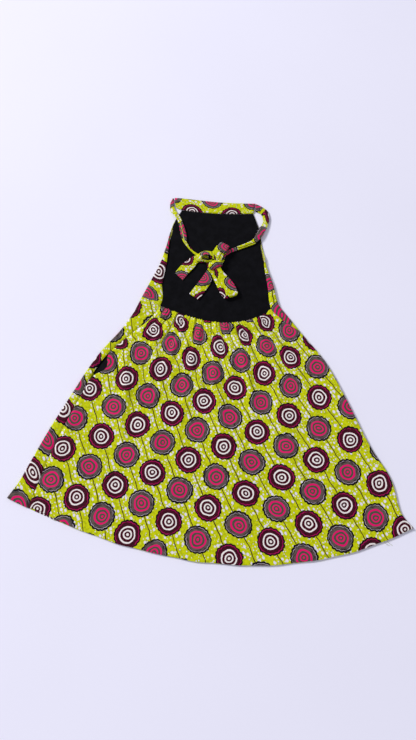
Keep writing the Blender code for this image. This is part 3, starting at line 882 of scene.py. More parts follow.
@dataclass
class BackPanel(Panel):
    """The gathered back of the skirt, with an elastic in the casing along its top."""

    across: int = 300
    turned: int = 9
    below: int = 76
    gathered: int = 52
    seam_gap: float = 0.25
    slit: float = 11.5
    slit_place: float = 0.648
    slit_reach: float = 0.042
    peek: float = 3.0
    peek_x: float = -243.0
    peek_reach: float = 22.0
    tuck: float = 4.3
    tuck_reach: float = 50.0
    valley: float = 0.005
    pinch: float = 2.0
    pinch_reach: float = 16.0
    lowest: float = 1.3
    stitch_dip: float = 1.1
    hem_dip: float = 0.35
    edge_curl: float = 1.3
    curl_reach: float = 2.2
    squash: float = 0.17
    scallop: float = 4.2
    ruffle: float = 1.9
    sag_in: float = 2.2
    side_draw: float = 11.0
    hem_wave: float = 0.45
    hem_depth: float = 13.0
    casing_seam: float = 0.95
    small_pleats: int = 38

    def places(self) -> list[float]:
        """Returns the places of the panel's rows, closer near the gathers."""
        low = list(np.linspace(0.0, 0.8, self.below))
        return low + list(np.linspace(0.8, 1.0, self.gathered + 1))[1:]

    def gathers(self, across: Array, below: float) -> tuple[Array, Array, Array, float]:
        """Works out the gathers on one row.

        Args:
            across: each point's share of the width.
            below: the row's distance below the gathered edge.

        Returns:
            The height of each point, how full its lobe is there, how far the cloth there has
            moved from an even spread, and how much of it is tucked away in all.
        """
        height, full, hidden = (np.zeros_like(across) for _ in range(3))
        casing = self.form.casing
        share = min(1.0, below / casing) ** 2
        centres = [0.0, *(gather.across for gather in GATHERS), 1.0]
        for i, gather in enumerate(GATHERS):
            puff = gather.puff * (0.35 + 0.65 * bell(below, 0.45 * casing, 0.42 * casing))
            fold = gather.fold * bell(below, casing, gather.reach)
            width = 0.2 * (centres[i + 2] - centres[i])
            height += (1 - share) * puff * bell(across, gather.across, 1.25 * width) ** 0.8
            height += share * fold * bell(across, gather.across, width)
            full += bell(across, gather.across, 1.5 * width)
            if i:
                valley = 0.5 * (centres[i] + gather.across)
                fade = math.exp(-below / (self.tuck_reach + 9.0 * (i % 4)))
                depth = self.tuck * (0.55 + 0.45 * math.sin(2.3 * i)) * fade
                hidden += depth * np.tanh((across - valley) / self.valley)
                pinch = self.pinch * (0.7 + 0.3 * math.sin(3.1 * i + 1.0))
                fade = math.exp(-below / (self.pinch_reach + 7.0 * (i % 3)))
                height -= pinch * bell(across, valley, 0.0052) * fade
        taken = float(hidden[-1] - hidden[0])
        hidden -= hidden[0] + taken * across
        side = np.minimum(across, 1 - across)
        return height * np.clip(side / 0.015, 0.0, 1.0), np.clip(full, 0.0, 1.0), hidden, taken

    def pleats(self, across: Array, below: float) -> Array:
        """Works out the small sharp pleats between the gathers, each with its own size.

        Args:
            across: each point's share of the width.
            below: the distance below the gathered edge.

        Returns:
            The height at each point.
        """
        height = np.zeros_like(across)
        for i in range(self.small_pleats):
            centre = 0.018 + 0.0257 * i + 0.006 * math.sin(4.1 * i)
            size = 0.75 + 0.5 * math.sin(2.7 * i + 0.6)
            reach = 26.0 + 20.0 * math.sin(1.9 * i + 2.0) ** 2
            width = 0.0042 + 0.0014 * math.sin(3.3 * i)
            lean = 0.00012 * math.sin(5.3 * i) * below
            height += size * math.exp(-((below / reach) ** 2)) * bell(across, centre + lean, width)
        return height

    def row(self, place: float) -> ClothRow:
        """Works out one row of the panel, from seam to seam.

        Args:
            place: the row's place: 0 at the hem, 1 at the gathered edge, 2 at the bib's top.

        Returns:
            The row.
        """
        form = self.form
        section = form.section(place)
        slit = float(bell(place, self.slit_place, self.slit_reach))
        left_inset, _ = form.round_side(section, form.reach(section, section.left_flap, 1.0), 1.0, 0.0)
        start = section.left_x + left_inset + self.seam_gap + self.slit * slit
        seam = form.reach(section, section.right_flap, 1.0) + self.seam_gap
        turns = np.linspace(max(math.pi * form.fold_radius(section), seam + 4.0), seam, self.turned)
        side = np.array([form.round_side(section, d, 1.0, 0.0) for d in turns])
        end = section.right_x - side[0, 0]
        share = np.linspace(0.0, 1.0, self.across)
        xs = start + share * (end - start)
        below = (1.0 - place) * form.length
        insets = np.minimum(xs - section.left_x, section.right_x - xs)
        settled = np.clip((xs - start) / 4.0, 0, 1) * np.clip((end - xs) / 4.0, 0, 1)
        height, full, hidden, taken = self.gathers(share, below)
        level = form.curve_y(section, xs)
        lift = self.peek * max(0.0, 1.0 - place / 0.07)
        ys = level + lift * bell(xs, self.peek_x, self.peek_reach) * np.clip((xs - start) / 8.0, 0, 1)
        wave = np.sin(0.113 * xs + 0.4) + np.sin(0.047 * xs + 2.0 * np.sin(0.011 * xs))
        ys = ys + self.hem_wave * wave * math.exp(-place * form.length / 7.0)
        rise = height + self.pleats(share, below) + relief(BACK_CREASES, xs, ys)
        stitched = -self.stitch_dip * bell(below, self.casing_seam * form.casing, 1.5) * full
        hem = -self.hem_dip * bell(below, form.length - self.hem_depth, 1.2)
        seamed = -bell(xs - start, 0.0, 1.6) * (1.0 - slit)
        curl = -self.edge_curl * max(0.0, 1.0 - below / self.curl_reach) ** 2
        zs = form.top_height(section, insets) + settled * (rise + stitched) + hem + seamed + curl
        zs = np.maximum(zs, self.lowest)
        scallop = (full - 1.0) * self.scallop * math.exp(-below / 6.0)
        ruffle = np.abs(np.sin(118.0 * share + 2.1 * np.sin(17.0 * share))) ** 0.7 - 0.6
        drawn = self.sag_in * math.exp(-below / 9.0)
        ys = ys + (scallop + self.ruffle * ruffle * math.exp(-below / 2.5) - drawn) * settled
        run = np.concatenate([[0.0], np.cumsum(np.hypot(np.diff(xs), np.diff(zs)))])
        pulled = self.side_draw * bell(xs, start, 18.0) * float(bell(place, 0.83, 0.05))
        lain = start + run / run[-1] * (end - start) + hidden + pulled
        round_x = section.right_x - side[1:, 0]
        round_y = form.curve_y(section, round_x)
        flat_x = np.concatenate([lain, end + turns[0] - turns[1:]]) / QUARTIC_UNIT
        flat_y = np.concatenate([level, round_y]) / QUARTIC_UNIT
        seen = (1.0 - taken / (end - start)) * (1.0 - self.squash * math.exp(-below / 95.0))
        return ClothRow(
            np.concatenate([xs, round_x]),
            np.concatenate([ys, round_y]),
            np.concatenate([zs, side[1:, 1]]),
            quartic(BACK_COLUMNS, flat_x, flat_y),
            quartic(BACK_ROWS, flat_x, flat_y),
            COLUMN_PITCH * seen * steepness(BACK_COLUMNS, flat_x, flat_y) / QUARTIC_UNIT,
            ROW_PITCH * steepness(BACK_ROWS, flat_x, flat_y) / QUARTIC_UNIT,
        )

    def line(self, below: float) -> list[Vector]:
        """Works out a line across the panel's face.

        Args:
            below: the distance below the gathered edge.

        Returns:
            The line's points.
        """
        row = self.row(1.0 - below / self.form.length)
        points = list(zip(row.xs, row.ys, row.zs))[2:self.across]
        return [Vector((x, y, z + 0.5 * self.form.cloth)) for x, y, z in points]

    def build(self, cloth: WaxPrint, sewing: "Stitching") -> None:
        """Builds and dresses the back, with its lines of stitches.

        Args:
            cloth: the cloth it is made of.
            sewing: what sews the stitches.
        """
        obj = self.lay("back_skirt", self.places(), self.form.cloth, SOFT_EDGE)
        slot = "wax_print_back"
        self.outfit.finish(obj, cloth, slot, "back_panel")
        casing = sewing.sew("casing_stitches", self.line(self.casing_seam * self.form.casing), slot)
        hem = sewing.sew("back_hem_stitches", self.line(self.form.length - self.hem_depth), slot)
        threads = [thread.build(self.outfit) for thread in LOOSE_THREADS]


# How the print meets the side folds: the place, and the print's column and row at the outline.
LEFT_LIE = (
    (0, -1.75, -1.39), (0.13, -1.14, -0.96), (0.275, -0.57, -0.48), (0.428, 0, 0.01),
    (0.549, 0.62, 0.5), (0.677, 1.17, 0.97), (0.832, 1.69, 1.48), (0.955, 2.17, 1.95),
    (1.03, 2.43, 2.52), (1.31, 2.94, 3.02), (1.60, 3.35, 3.50), (2, 3.9, 4.2),
)
RIGHT_LIE = (
    (0, -5.33, -2.2), (0.5, -5.90, 0.2), (0.959, -6.43, 2.48), (1.20, -6.43, 3.48),
    (1.50, -6.30, 4.1), (2, -6.2, 5.4),
)
FLAP_CREASES = tuple(Crease(*row) for row in (
    (-100, 96, -76, 104, 3, 0.5), (-103, 118, -80, 128, 4, 0.5, 1), (-150, 38, -128, 58, 3.5, -0.4),
    (-262, -150, -240, -190, 5, 0.5), (-276, -200, -258, -214, 5, 0.6),
))


@dataclass
class FrontPanel(Panel):
    """The front in one cloth, which lies on the floor and folds up round both sides."""

    floor_cells: int = 44
    fold_cells: int = 14
    flap_cells: int = 20
    lean: float = 0.30
    lean_more: float = 0.35

    def side(self, section: Section, flap: float, turn: float) -> tuple[Array, Array, Array]:
        """Works out the points round one side.

        Args:
            section: the section the points are on.
            flap: how far the flap runs in from the outline.
            turn: how far the side is folded over: 1 all the way, 0 not at all.

        Returns:
            Their insets, heights and distances along the cloth.
        """
        form = self.form
        reach = form.reach(section, flap, turn)
        around = min(reach, math.pi * form.fold_radius(section))
        spread = min(1.0, max(0.0, (reach - around) / 6.0)) * turn
        cells = np.arange(self.fold_cells + self.flap_cells + 1)
        even = reach * cells / cells[-1]
        beyond = around + (reach - around) * (cells - self.fold_cells) / self.flap_cells
        folded = np.where(cells <= self.fold_cells, around * cells / self.fold_cells, beyond)
        distances = (1 - spread) * even + spread * folded
        insets, heights = np.array([form.round_side(section, d, turn, reach) for d in distances]).T
        dip = 0.9 * bell(reach - distances, 0.0, 1.5) * min(1.0, max(0.0, flap - 4.0) / 6.0)
        return insets, np.maximum(heights - dip, 0.5 * form.cloth), distances

    def floor_lie(self, xs: Array, ys: Array) -> tuple[Array, Array]:
        """Returns the print's columns and rows on the layer that lies on the floor."""
        return -2.52 - xs / COLUMN_PITCH, 0.95 + ys / ROW_PITCH

    def lies(
        self, section: Section, table: tuple, distances: Array, mirror: float, xs: Array, ys: Array
    ) -> list[Array]:
        """Returns the print's columns and rows round one side.

        Args:
            section: the section the points are on.
            table: the print's column and row at the outline, by place.
            distances: how far round the side each point is.
            mirror: 1 on the left side and -1 on the right.
            xs: the points' x.
            ys: the points' y.

        Returns:
            The columns and the rows.
        """
        places, columns, lines = zip(*table)
        around = math.pi * self.form.fold_radius(section)
        inset = self.form.fold_inset(section) + distances - around
        lean = self.lean + self.lean_more * float(bell(section.place, 0.93, 0.06))
        top = (
            np.interp(section.place, places, columns) + mirror * inset * math.cos(lean) / COLUMN_PITCH,
            np.interp(section.place, places, lines) - mirror * inset * math.sin(lean) / ROW_PITCH,
        )
        share = ease(distances / (0.5 * around))
        return [low + share * (high - low) for low, high in zip(self.floor_lie(xs, ys), top)]

    def row(self, place: float) -> ClothRow:
        """Works out one row of the front, from flap to flap along the floor.

        Args:
            place: the row's place: 0 at the hem, 1 at the gathered edge, 2 at the bib's top.

        Returns:
            The row.
        """
        form = self.form
        section = form.section(place)
        left_inset, left_z, left_d = self.side(section, section.left_flap, section.left_turn)
        right_inset, right_z, right_d = self.side(section, section.right_flap, section.right_turn)
        left_x, right_x = section.left_x + left_inset, section.right_x - right_inset
        floor_x = np.linspace(left_x[0], right_x[0], self.floor_cells + 1)[1:-1]
        left_y, floor_y, right_y = (form.curve_y(section, xs) for xs in (left_x, floor_x, right_x))
        flap = left_d > math.pi * form.fold_radius(section)
        left_z = left_z + flap * relief(FLAP_CREASES, left_x, left_y)
        left = (left_x, left_y, left_z, *self.lies(section, LEFT_LIE, left_d, 1.0, left_x, left_y))
        floor = (floor_x, floor_y, np.full_like(floor_x, 0.5 * form.cloth), *self.floor_lie(floor_x, floor_y))
        right = (right_x, right_y, right_z, *self.lies(section, RIGHT_LIE, right_d, -1.0, right_x, right_y))
        return ClothRow(*(np.concatenate([a[::-1], b, c]) for a, b, c in zip(left, floor, right)))

    def build(self, cloth: WaxPrint) -> None:
        """Builds and dresses the front.

        Args:
            cloth: the cloth it is made of.
        """
        places = np.concatenate([np.linspace(0.0, 1.0, 130), np.linspace(1.0, 2.0, 90)[1:]])
        obj = self.lay("front_cloth", places, self.form.cloth, SOFT_EDGE)
        self.outfit.finish(obj, cloth, "wax_print_front", "front_panel")


LINING_CREASES = tuple(Crease(*row) for row in (
    (-60, 150, 30, 118, 7, 0.5, 3), (-20, 240, 50, 214, 9, 0.4, 4), (10, 120, 80, 140, 6, 0.5, -3),
    (-50, 200, -30, 130, 6, 0.4, 2), (60, 190, 76, 120, 6, 0.45, -2), (40, 250, 70, 215, 7, -0.35, 2),
    (-10, 106, 20, 84, 5, 0.4),
))


@dataclass
class BibLining(Panel):
    """The black lining of the bib, inside the front's side folds."""

    thickness: float = 0.6
    height: float = 1.7
    gap: float = 0.4
    across: int = 70
    rows: int = 90

    def row(self, place: float) -> ClothRow:
        """Works out one row of the lining.

        Args:
            place: the row's place: 0 at the hem, 1 at the gathered edge, 2 at the bib's top.

        Returns:
            The row.
        """
        form = self.form
        section = form.section(place)
        edges = []
        for edge_x, inward, turn in (
            (section.left_x, 1.0, section.left_turn),
            (section.right_x, -1.0, section.right_turn),
        ):
            near = min(1.0, 4.0 * turn)
            folded = max(form.fold_inset(section), form.lip * near) + 0.5
            edges.append(edge_x + inward * (self.gap + (folded - self.gap) * near))
        xs = np.linspace(edges[0], edges[1], self.across)
        ys = form.curve_y(section, xs) - (self.gap if place == 2.0 else 0.0)
        inside = np.clip(np.minimum(xs - edges[0], edges[1] - xs) / 6.0, 0, 1)
        zs = self.height + 0.9 * inside * relief(LINING_CREASES, xs, ys) * (place > 1.0)
        return ClothRow(xs, ys, zs, xs / COLUMN_PITCH, ys / ROW_PITCH)

    def build(self, cloth: BlackCotton) -> None:
        """Builds and dresses the lining.

        Args:
            cloth: the cloth it is made of.
        """
        places = np.linspace(0.89, 2.0, self.rows)
        obj = self.lay("lining_cloth", places, self.thickness)
        self.outfit.finish(obj, cloth, "lining", "bib_lining")


POCKET_EDGE = (
    (-113, 62), (-84, 46), (-62, 18), (-58, -18), (-72, -50), (-102, -70), (-138, -68), (-166, -46),
    (-176, -18), (-163, 8), (-146, 30), (-129, 50),
)


@dataclass
class PocketBag(Panel):
    """The black bag that hangs inside the left seam's pocket."""

    thickness: float = 0.9
    height: float = 1.9
    per_corner: int = 6
    rings: int = 5
    ring_width: float = 6.0

    def outline(self) -> list[Vector]:
        """Returns the bag's edge, on a smooth closed curve through its corners."""
        corners = [Vector(corner) for corner in POCKET_EDGE]
        edge = []
        for i in range(len(corners)):
            before, start, end, after = (corners[(i + k) % len(corners)] for k in (-1, 0, 1, 2))
            for k in range(self.per_corner):
                t = k / self.per_corner
                square = (2 * before - 5 * start + 4 * end - after) * (t * t)
                cube = (3 * start - before - 3 * end + after) * (t * t * t)
                edge.append(0.5 * (2 * start + (end - before) * t + square + cube))
        return edge

    def build(self, cloth: BlackCotton) -> None:
        """Builds and dresses the bag.

        Args:
            cloth: the cloth it is made of.
        """
        edge = self.outline()
        bm = bmesh.new()
        bmesh.ops.create_circle(bm, cap_ends=True, segments=len(edge), radius=1.0)
        ring = sorted(bm.verts, key=lambda vert: math.atan2(vert.co.y, vert.co.x))
        middle = sum(edge, Vector((0.0, 0.0))) / len(edge)
        placed = sorted(edge, key=lambda point: math.atan2(point.y - middle.y, point.x - middle.x))
        for vert, point in zip(ring, placed):
            vert.co = (point.x * MM, point.y * MM, self.height * MM)
        for _ in range(self.rings):
            inner = max(bm.faces, key=lambda face: face.calc_area())
            bmesh.ops.inset_region(bm, faces=[inner], thickness=self.ring_width * MM)
        layer = bm.loops.layers.uv.new(PRINT_MAP)
        for loop in (loop for face in bm.faces for loop in face.loops):
            loop[layer].uv = (loop.vert.co.x / MM / COLUMN_PITCH, loop.vert.co.y / MM / ROW_PITCH)
        obj = link_mesh("pocket_cloth", bm)
        thicken(obj, self.thickness)
        self.outfit.finish(obj, cloth, "pocket_lining", "pocket_bag")


@dataclass(frozen=True)
class Pucker:
    """One lengthwise crease in a strip: where across it, how wide and deep, and from where to where.

    Its tuck is how many print columns are folded away in it.
    """

    across: float
    width: float
    depth: float
    start: float
    end: float
    drift: float = 0.0
    tuck: float = 0.0


@dataclass
class ClothStrip:
    """A folded strip of the print, as a flattened tube with its folds along both edges.

    Each row of its table has the x and y of its edge A, those of its edge B, and both heights.
    Each row of its lie has a share of its length, and the print's row and column there. Each row
    of its puckers fills a Pucker.
    """

    name: str
    node: str
    slot: str
    table: tuple[tuple[float, ...], ...]
    thickness: float
    lie: tuple[Triple, ...]
    rests_on: str
    flat: tuple[float, float]
    puckers: Sequence = ()
    wall: float = 0.35
    flatness: float = 0.55
    fullness: float = 0.62
    face: float = 0.82
    per_row: int = 8
    around: int = 40
    column_pitch: float = 54.0
    held: str = "folded"
    pinch: tuple[float, float] = (1.0, 1.0)
    pinch_reach: float = 0.05

    def __post_init__(self) -> None:
        """Reads the puckers."""
        self.puckers = [Pucker(*row) for row in self.puckers]

    def spine(self) -> list[tuple[Vector, Vector]]:
        """Returns pairs of edge points along the strip, on smooth curves through its table."""
        places = [0.0]
        for one, two in zip(self.table, self.table[1:]):
            step = max(math.dist(one[0:2], two[0:2]), math.dist(one[2:4], two[2:4]), 3.0)
            places.append(places[-1] + step)
        last = len(places) - 1
        along = np.interp(np.linspace(0, last, last * self.per_row + 1), range(last + 1), places)
        columns = [SmoothColumn(places, values) for values in zip(*self.table)]
        rows = [[column.at(place) for column in columns] for place in along]
        return [(Vector((ax, ay, az)), Vector((bx, by, bz))) for ax, ay, bx, by, az, bz in rows]

    def section(self, width: float, thickness: float) -> list[tuple[float, float]]:
        """Works out the points round the strip.

        Args:
            width: the strip's width there.
            thickness: its thickness there.

        Returns:
            Each point's place across the strip, and its height.
        """
        points = []
        for angle in ring_angles(self.around, 0.5 * math.pi):
            flat, high = math.cos(angle), math.sin(angle)
            x = -0.5 * width * math.copysign(abs(flat) ** self.flatness, flat)
            points.append((x, 0.5 * thickness * math.copysign(abs(high) ** self.fullness, high)))
        return points

    def dents(self, share: float, t: float) -> tuple[float, float]:
        """Works out what the puckers do at a point.

        Args:
            share: the share of the strip's length.
            t: the place across the strip, from -1 to 1.

        Returns:
            How far they raise it, and how many columns they tuck away by it.
        """
        dent, tucked = 0.0, 0.0
        for pucker in self.puckers:
            inside = min(1.0, max(0.0, (share - pucker.start) / (pucker.end - pucker.start)))
            fade = math.sin(math.pi * inside) ** 0.7
            place = pucker.across + pucker.drift * (inside - 0.5)
            dent += pucker.depth * fade * float(bell(t, place, pucker.width))
            if pucker.tuck and 0.0 < inside < 1.0:
                tucked += pucker.tuck * float(ease((place - t) / 0.12))
        return dent, tucked

    def rows(self) -> list[ClothRow]:
        """Returns the rings of points along the strip."""
        spine = self.spine()
        mids = [(a + b) / 2 for a, b in spine]
        run = [0.0]
        for one, two in zip(mids, mids[1:]):
            run.append(run[-1] + (two - one).length)
        turns, lines, columns = zip(*self.lie)
        made, sign = [], 0.0
        for i, (a, b) in enumerate(spine):
            ahead = (mids[min(i + 1, len(mids) - 1)] - mids[max(i - 1, 0)]).normalized()
            wide, width = (b - a).normalized(), (b - a).length
            normal = ahead.cross(wide).normalized()
            sign = sign or (1.0 if normal.z >= 0 else -1.0)
            normal *= sign
            share = run[i] / run[-1]
            end = min(share / self.pinch_reach, (1 - share) / self.pinch_reach, 1.0)
            squeeze = 1.0 - (1.0 - self.pinch[0 if share < 0.5 else 1]) * (1.0 - end)
            column = np.interp(share, turns, columns)
            points, across = [], []
            for x, z in self.section(width, self.thickness * squeeze):
                dent, tucked = self.dents(share, x / (0.5 * width))
                if z * normal.z < 0:
                    dent = 0.3 * min(dent, 0.0)
                full = min(1.0, abs(z) / (0.4 * self.thickness * squeeze))
                points.append(mids[i] + wide * x + normal * (z + math.copysign(dent * full, z)))
                across.append(column + tucked + x / self.column_pitch)
            made.append(ClothRow.ring(points, across, [np.interp(share, turns, lines)] * len(points)))
        return made

    def edge_line(self, across: float) -> list[Vector]:
        """Returns the line along the strip's upper face at a share of its half width."""
        lift = UP * (0.5 * self.thickness * self.face)
        return [(a + b) / 2 + (b - a) * 0.5 * across + lift for a, b in self.spine()]

    def build(self, outfit: Outfit, cloth: WaxPrint, with_pieces: Sequence[Piece] = ()) -> None:
        """Builds and dresses the strip.

        Args:
            outfit: what dresses it.
            cloth: the cloth it is made of.
            with_pieces: the stitches on it; not used.
        """
        obj = cloth_object(self.name, self.rows(), closed=True)
        thicken(obj, self.wall, offset=-1.0)
        outfit.finish(obj, cloth, self.slot, self.node)


NECK_BAND = (
    (-55, 274.5, -57.2, 292.8, 1.2, 1.2), (-48.5, 271.2, -49.5, 292.6, 1.2, 1.2),
    (-38, 269, -38.5, 291.3, 1.2, 1.2), (-12, 265.3, -13, 288, 1.2, 1.2),
    (18, 262.8, 20, 284.2, 1.2, 1.2), (48, 262.3, 52, 282.4, 1.2, 1.2),
    (75.2, 263.2, 78.6, 281.9, 1.2, 1.2),
)
STRAP_LEFT = (
    (-58.2, 291, -60.5, 291.4, 2, 1.4), (-58, 280, -64.5, 280, 2.4, 1.5),
    (-56.5, 270.5, -64, 268.5, 2.8, 2), (-52.8, 264.5, -58.5, 260.5, 3.9, 3.6),
    (-46, 252.5, -51.5, 248.5, 4.2, 4.2), (-40.5, 237.5, -48.5, 237, 4.4, 3.8),
    (-36.5, 222, -46.3, 224, 4.5, 3.8), (-35, 208, -42.5, 211.5, 4.4, 3.8),
    (-29, 198.5, -34.5, 199, 4.4, 3.9), (-18.5, 188, -23, 186.5, 4.2, 3.8),
    (-10, 184.5, -14.5, 180, 4.6, 4.2),
)
STRAP_RIGHT = (
    (79.2, 280.8, 78.2, 267, 2.2, 1.4), (90, 274.5, 85.5, 263.2, 2.6, 1.6),
    (98.5, 266.5, 90, 256, 2.6, 1.8), (101, 255.5, 90.5, 249, 2.6, 2.2), (99, 242, 88, 240.5, 2.8, 3.2),
    (94, 230.5, 83, 233.5, 3.7, 4.4), (86.5, 217, 78, 223, 4.3, 4.7), (76, 205.5, 72.5, 213, 3.9, 4.6),
    (64, 200.5, 62.5, 207, 3.9, 4.6), (46.5, 193.5, 44.5, 199.5, 3.8, 4.2),
    (33, 187.5, 30.5, 193, 3.7, 3.7), (27, 182, 22.6, 185, 3.7, 3.7), (25.8, 176, 20.4, 177, 4.6, 4.6),
    (22.5, 169.5, 17, 172, 5.6, 6),
)
BOW_LOOP_UPPER = (
    (11.5, 186, 22.5, 179.2, 6, 6), (10.5, 192.5, 27, 185.5, 5.8, 5.8),
    (15.5, 199, 30.5, 191.5, 5.8, 5.8), (19, 203.5, 33, 196, 7, 7), (20.5, 205.2, 34, 197.8, 9.2, 9.2),
    (18.5, 203, 32.3, 195.6, 11.4, 11.2), (13, 197.5, 29, 189.5, 12, 11.8),
    (8.5, 190.5, 24.6, 183.5, 11.4, 11.2), (3.5, 184, 22.5, 177, 11.4, 11),
    (2, 177.5, 19, 170.5, 10, 9.6),
)
BOW_LOOP_LOWER = (
    (-3.2, 170, 5.5, 167, 4.8, 5.4), (-0.8, 162, 9, 160, 5, 5.2), (3, 155, 11.5, 154.4, 4.4, 4.4),
    (7.5, 144, 21, 147, 3.8, 3.8), (13.5, 130, 30, 137, 3.8, 3.8), (20.5, 114.5, 37, 121.5, 3.8, 3.8),
    (24, 110.6, 41, 116.8, 3.9, 3.9), (24.9, 108.8, 42.4, 114.7, 4.6, 4.6),
    (26.1, 107.9, 43.9, 113.8, 5.9, 5.9), (27.3, 108.7, 45.2, 114.6, 7.2, 7.2),
    (28, 110.6, 46, 116.6, 7.8, 7.8), (26, 122, 42, 128.5, 7.8, 7.8), (17.5, 138, 32, 143.5, 7.4, 7.4),
    (10.2, 153.2, 21, 156.6, 7.6, 7.6), (7, 161, 18, 164, 7.4, 7.4),
)
BOW_TAIL_LEFT = (
    (0, 183.5, -1, 173.8, 3.2, 3.2), (-12, 186, -8.5, 173.2, 3.4, 3.4),
    (-24.5, 183, -17, 171.8, 3.8, 3.8), (-34, 176.5, -23, 163, 4.2, 4.2),
    (-44.5, 166.5, -32, 153, 4.6, 4), (-54.5, 153.5, -41.5, 140.5, 3.7, 3.7),
)
BOW_TAIL_LOWER = (
    (1, 164.5, 7, 161, 5.4, 5.4), (-2.5, 157.5, 3.5, 153.5, 5, 5), (-8.5, 148.5, 5.2, 141.5, 4, 4),
    (-18.5, 134, -2.5, 126, 4.6, 4), (-31, 117, -16, 106.5, 3.7, 3.7),
)
# The small loop stands up off the bib and leans in over its own hollow: A is its outer edge.
BOW_RING = (
    (9, 172, 7, 174.6, 4.6, 9), (-1.5, 171.6, -1, 173.8, 4, 7.6), (-11.5, 171.6, -8.8, 175, 4, 8.6),
    (-19, 173.8, -11.4, 177.4, 4.2, 11), (-20.6, 179.8, -10.8, 180, 5.4, 12.6),
    (-15.6, 186.2, -8, 180.4, 7, 14), (-5.8, 190.4, -2.4, 180.6, 8, 14.4),
    (4, 189.2, 2.6, 179.8, 8.4, 14.4), (12, 183.6, 7.4, 176.8, 9, 13.6),
    (15, 176.4, 10.4, 172.2, 8.4, 11.6),
)


def strips() -> list[ClothStrip]:
    """Returns the band, the straps and the bow's parts, each with the print's lie on it."""
    band, strap, bow = "wax_print_band", "wax_print_strap", "wax_print_bow"
    bib = "lining_cloth"
    return [
        ClothStrip(
            "neck_band_cloth", "neck_band", band, NECK_BAND, 2.2,
            ((0, -0.415, 0.26), (1, 1.54, 0.26)), "front_cloth", (0.041, 0.136),
            ((-0.8, 0.12, -0.5, 0, 1), (0.1, 0.3, 0.3, 0.1, 0.5, 0.3), (0.3, 0.25, -0.25, 0.5, 0.9, -0.3)),
            column_pitch=47, held="laid",
        ),
        ClothStrip(
            "strap_left_cloth", "strap_left", strap, STRAP_LEFT, 1.8,
            ((0, 0.45, 0.4), (0.52, 1.5, 0.35), (0.82, 2, 0.3), (1, 2.3, 0.3)), bib, (0.017, 0.118),
            (
                (0.25, 0.25, -0.7, 0.28, 0.74, 0.3, -0.74), (-0.5, 0.3, 0.4, 0.3, 0.8),
                (-0.3, 0.25, -0.4, 0.7, 1),
            ),
        ),
        ClothStrip(
            "strap_right_cloth", "strap_right", strap, STRAP_RIGHT, 1.8,
            (
                (0, -0.47, -0.33), (0.07, -0.33, -0.33), (0.14, -0.15, 0.2), (0.2, 0, 0.278),
                (0.28, 0.2, 0.3), (0.35, 0.36, 0.62), (0.41, 0.5, 0.69), (0.53, 0.78, 0.52),
                (0.84, 1.5, 0.5), (1, 1.85, 0.5),
            ),
            bib, (0.022, 0.165),
            (
                (0, 0.3, -0.5, 0.1, 0.4, 0.5), (0.2, 0.3, 0.4, 0.3, 0.6, -0.4),
                (-0.2, 0.25, -0.5, 0.45, 0.95, -0.3),
            ),
        ),
        ClothStrip(
            "loop_upper_cloth", "bow_loop_upper", bow, BOW_LOOP_UPPER, 1.5,
            ((0, 0.11, 0.36), (0.48, 0.5, 0.38), (1, 1, 0.4)), "strap_right_cloth", (0.034, 0.062),
            ((0.1, 0.3, -0.5, 0.6, 1, 0.3), (-0.5, 0.3, 0.4, 0.55, 0.95)),
        ),
        ClothStrip(
            "loop_lower_cloth", "bow_loop_lower", bow, BOW_LOOP_LOWER, 1.5,
            ((0, -0.92, 0.23), (0.46, 0, 0.265), (0.71, 0.5, 0.294), (1, 1.1, 0.32)), bib, (0.035, 0.118),
            ((0.1, 0.25, -0.5, 0.66, 1, 0.4), (-0.4, 0.3, 0.35, 0.66, 0.95), (-0.3, 0.25, -0.4, 0.1, 0.45)),
        ),
        ClothStrip(
            "loop_small_cloth", "bow_ring", bow, BOW_RING, 1.3,
            ((0, -0.3, 0.3), (0.25, 0, 0.3), (0.62, 0.5, 0.3), (1, 1, 0.15)), bib, (0.020, 0.066),
            ((0, 0.3, -0.4, 0.4, 1, 0.5),), around=32,
        ),
        ClothStrip(
            "tail_left_cloth", "bow_tail_left", bow, BOW_TAIL_LEFT, 1.5,
            ((0, -0.62, 0.22), (0.52, 0, 0.26), (0.985, 0.5, 0.378), (1, 0.52, 0.38)), bib, (0.036, 0.066),
            ((-0.3, 0.3, -0.4, 0.3, 0.9, 0.3), (0.4, 0.3, 0.3, 0.3, 0.8)), pinch=(1, 0.45),
        ),
        ClothStrip(
            "tail_lower_cloth", "bow_tail_lower", bow, BOW_TAIL_LOWER, 1.5,
            ((0, 0.12, 0.575), (0.39, 0.5, 0.62), (0.938, 1, 0.718), (1, 1.06, 0.73)), bib, (0.032, 0.064),
            ((0.2, 0.3, -0.4, 0.2, 0.9, -0.3), (-0.4, 0.3, 0.3, 0.3, 0.8)), pinch=(1, 0.45),
        ),
    ]


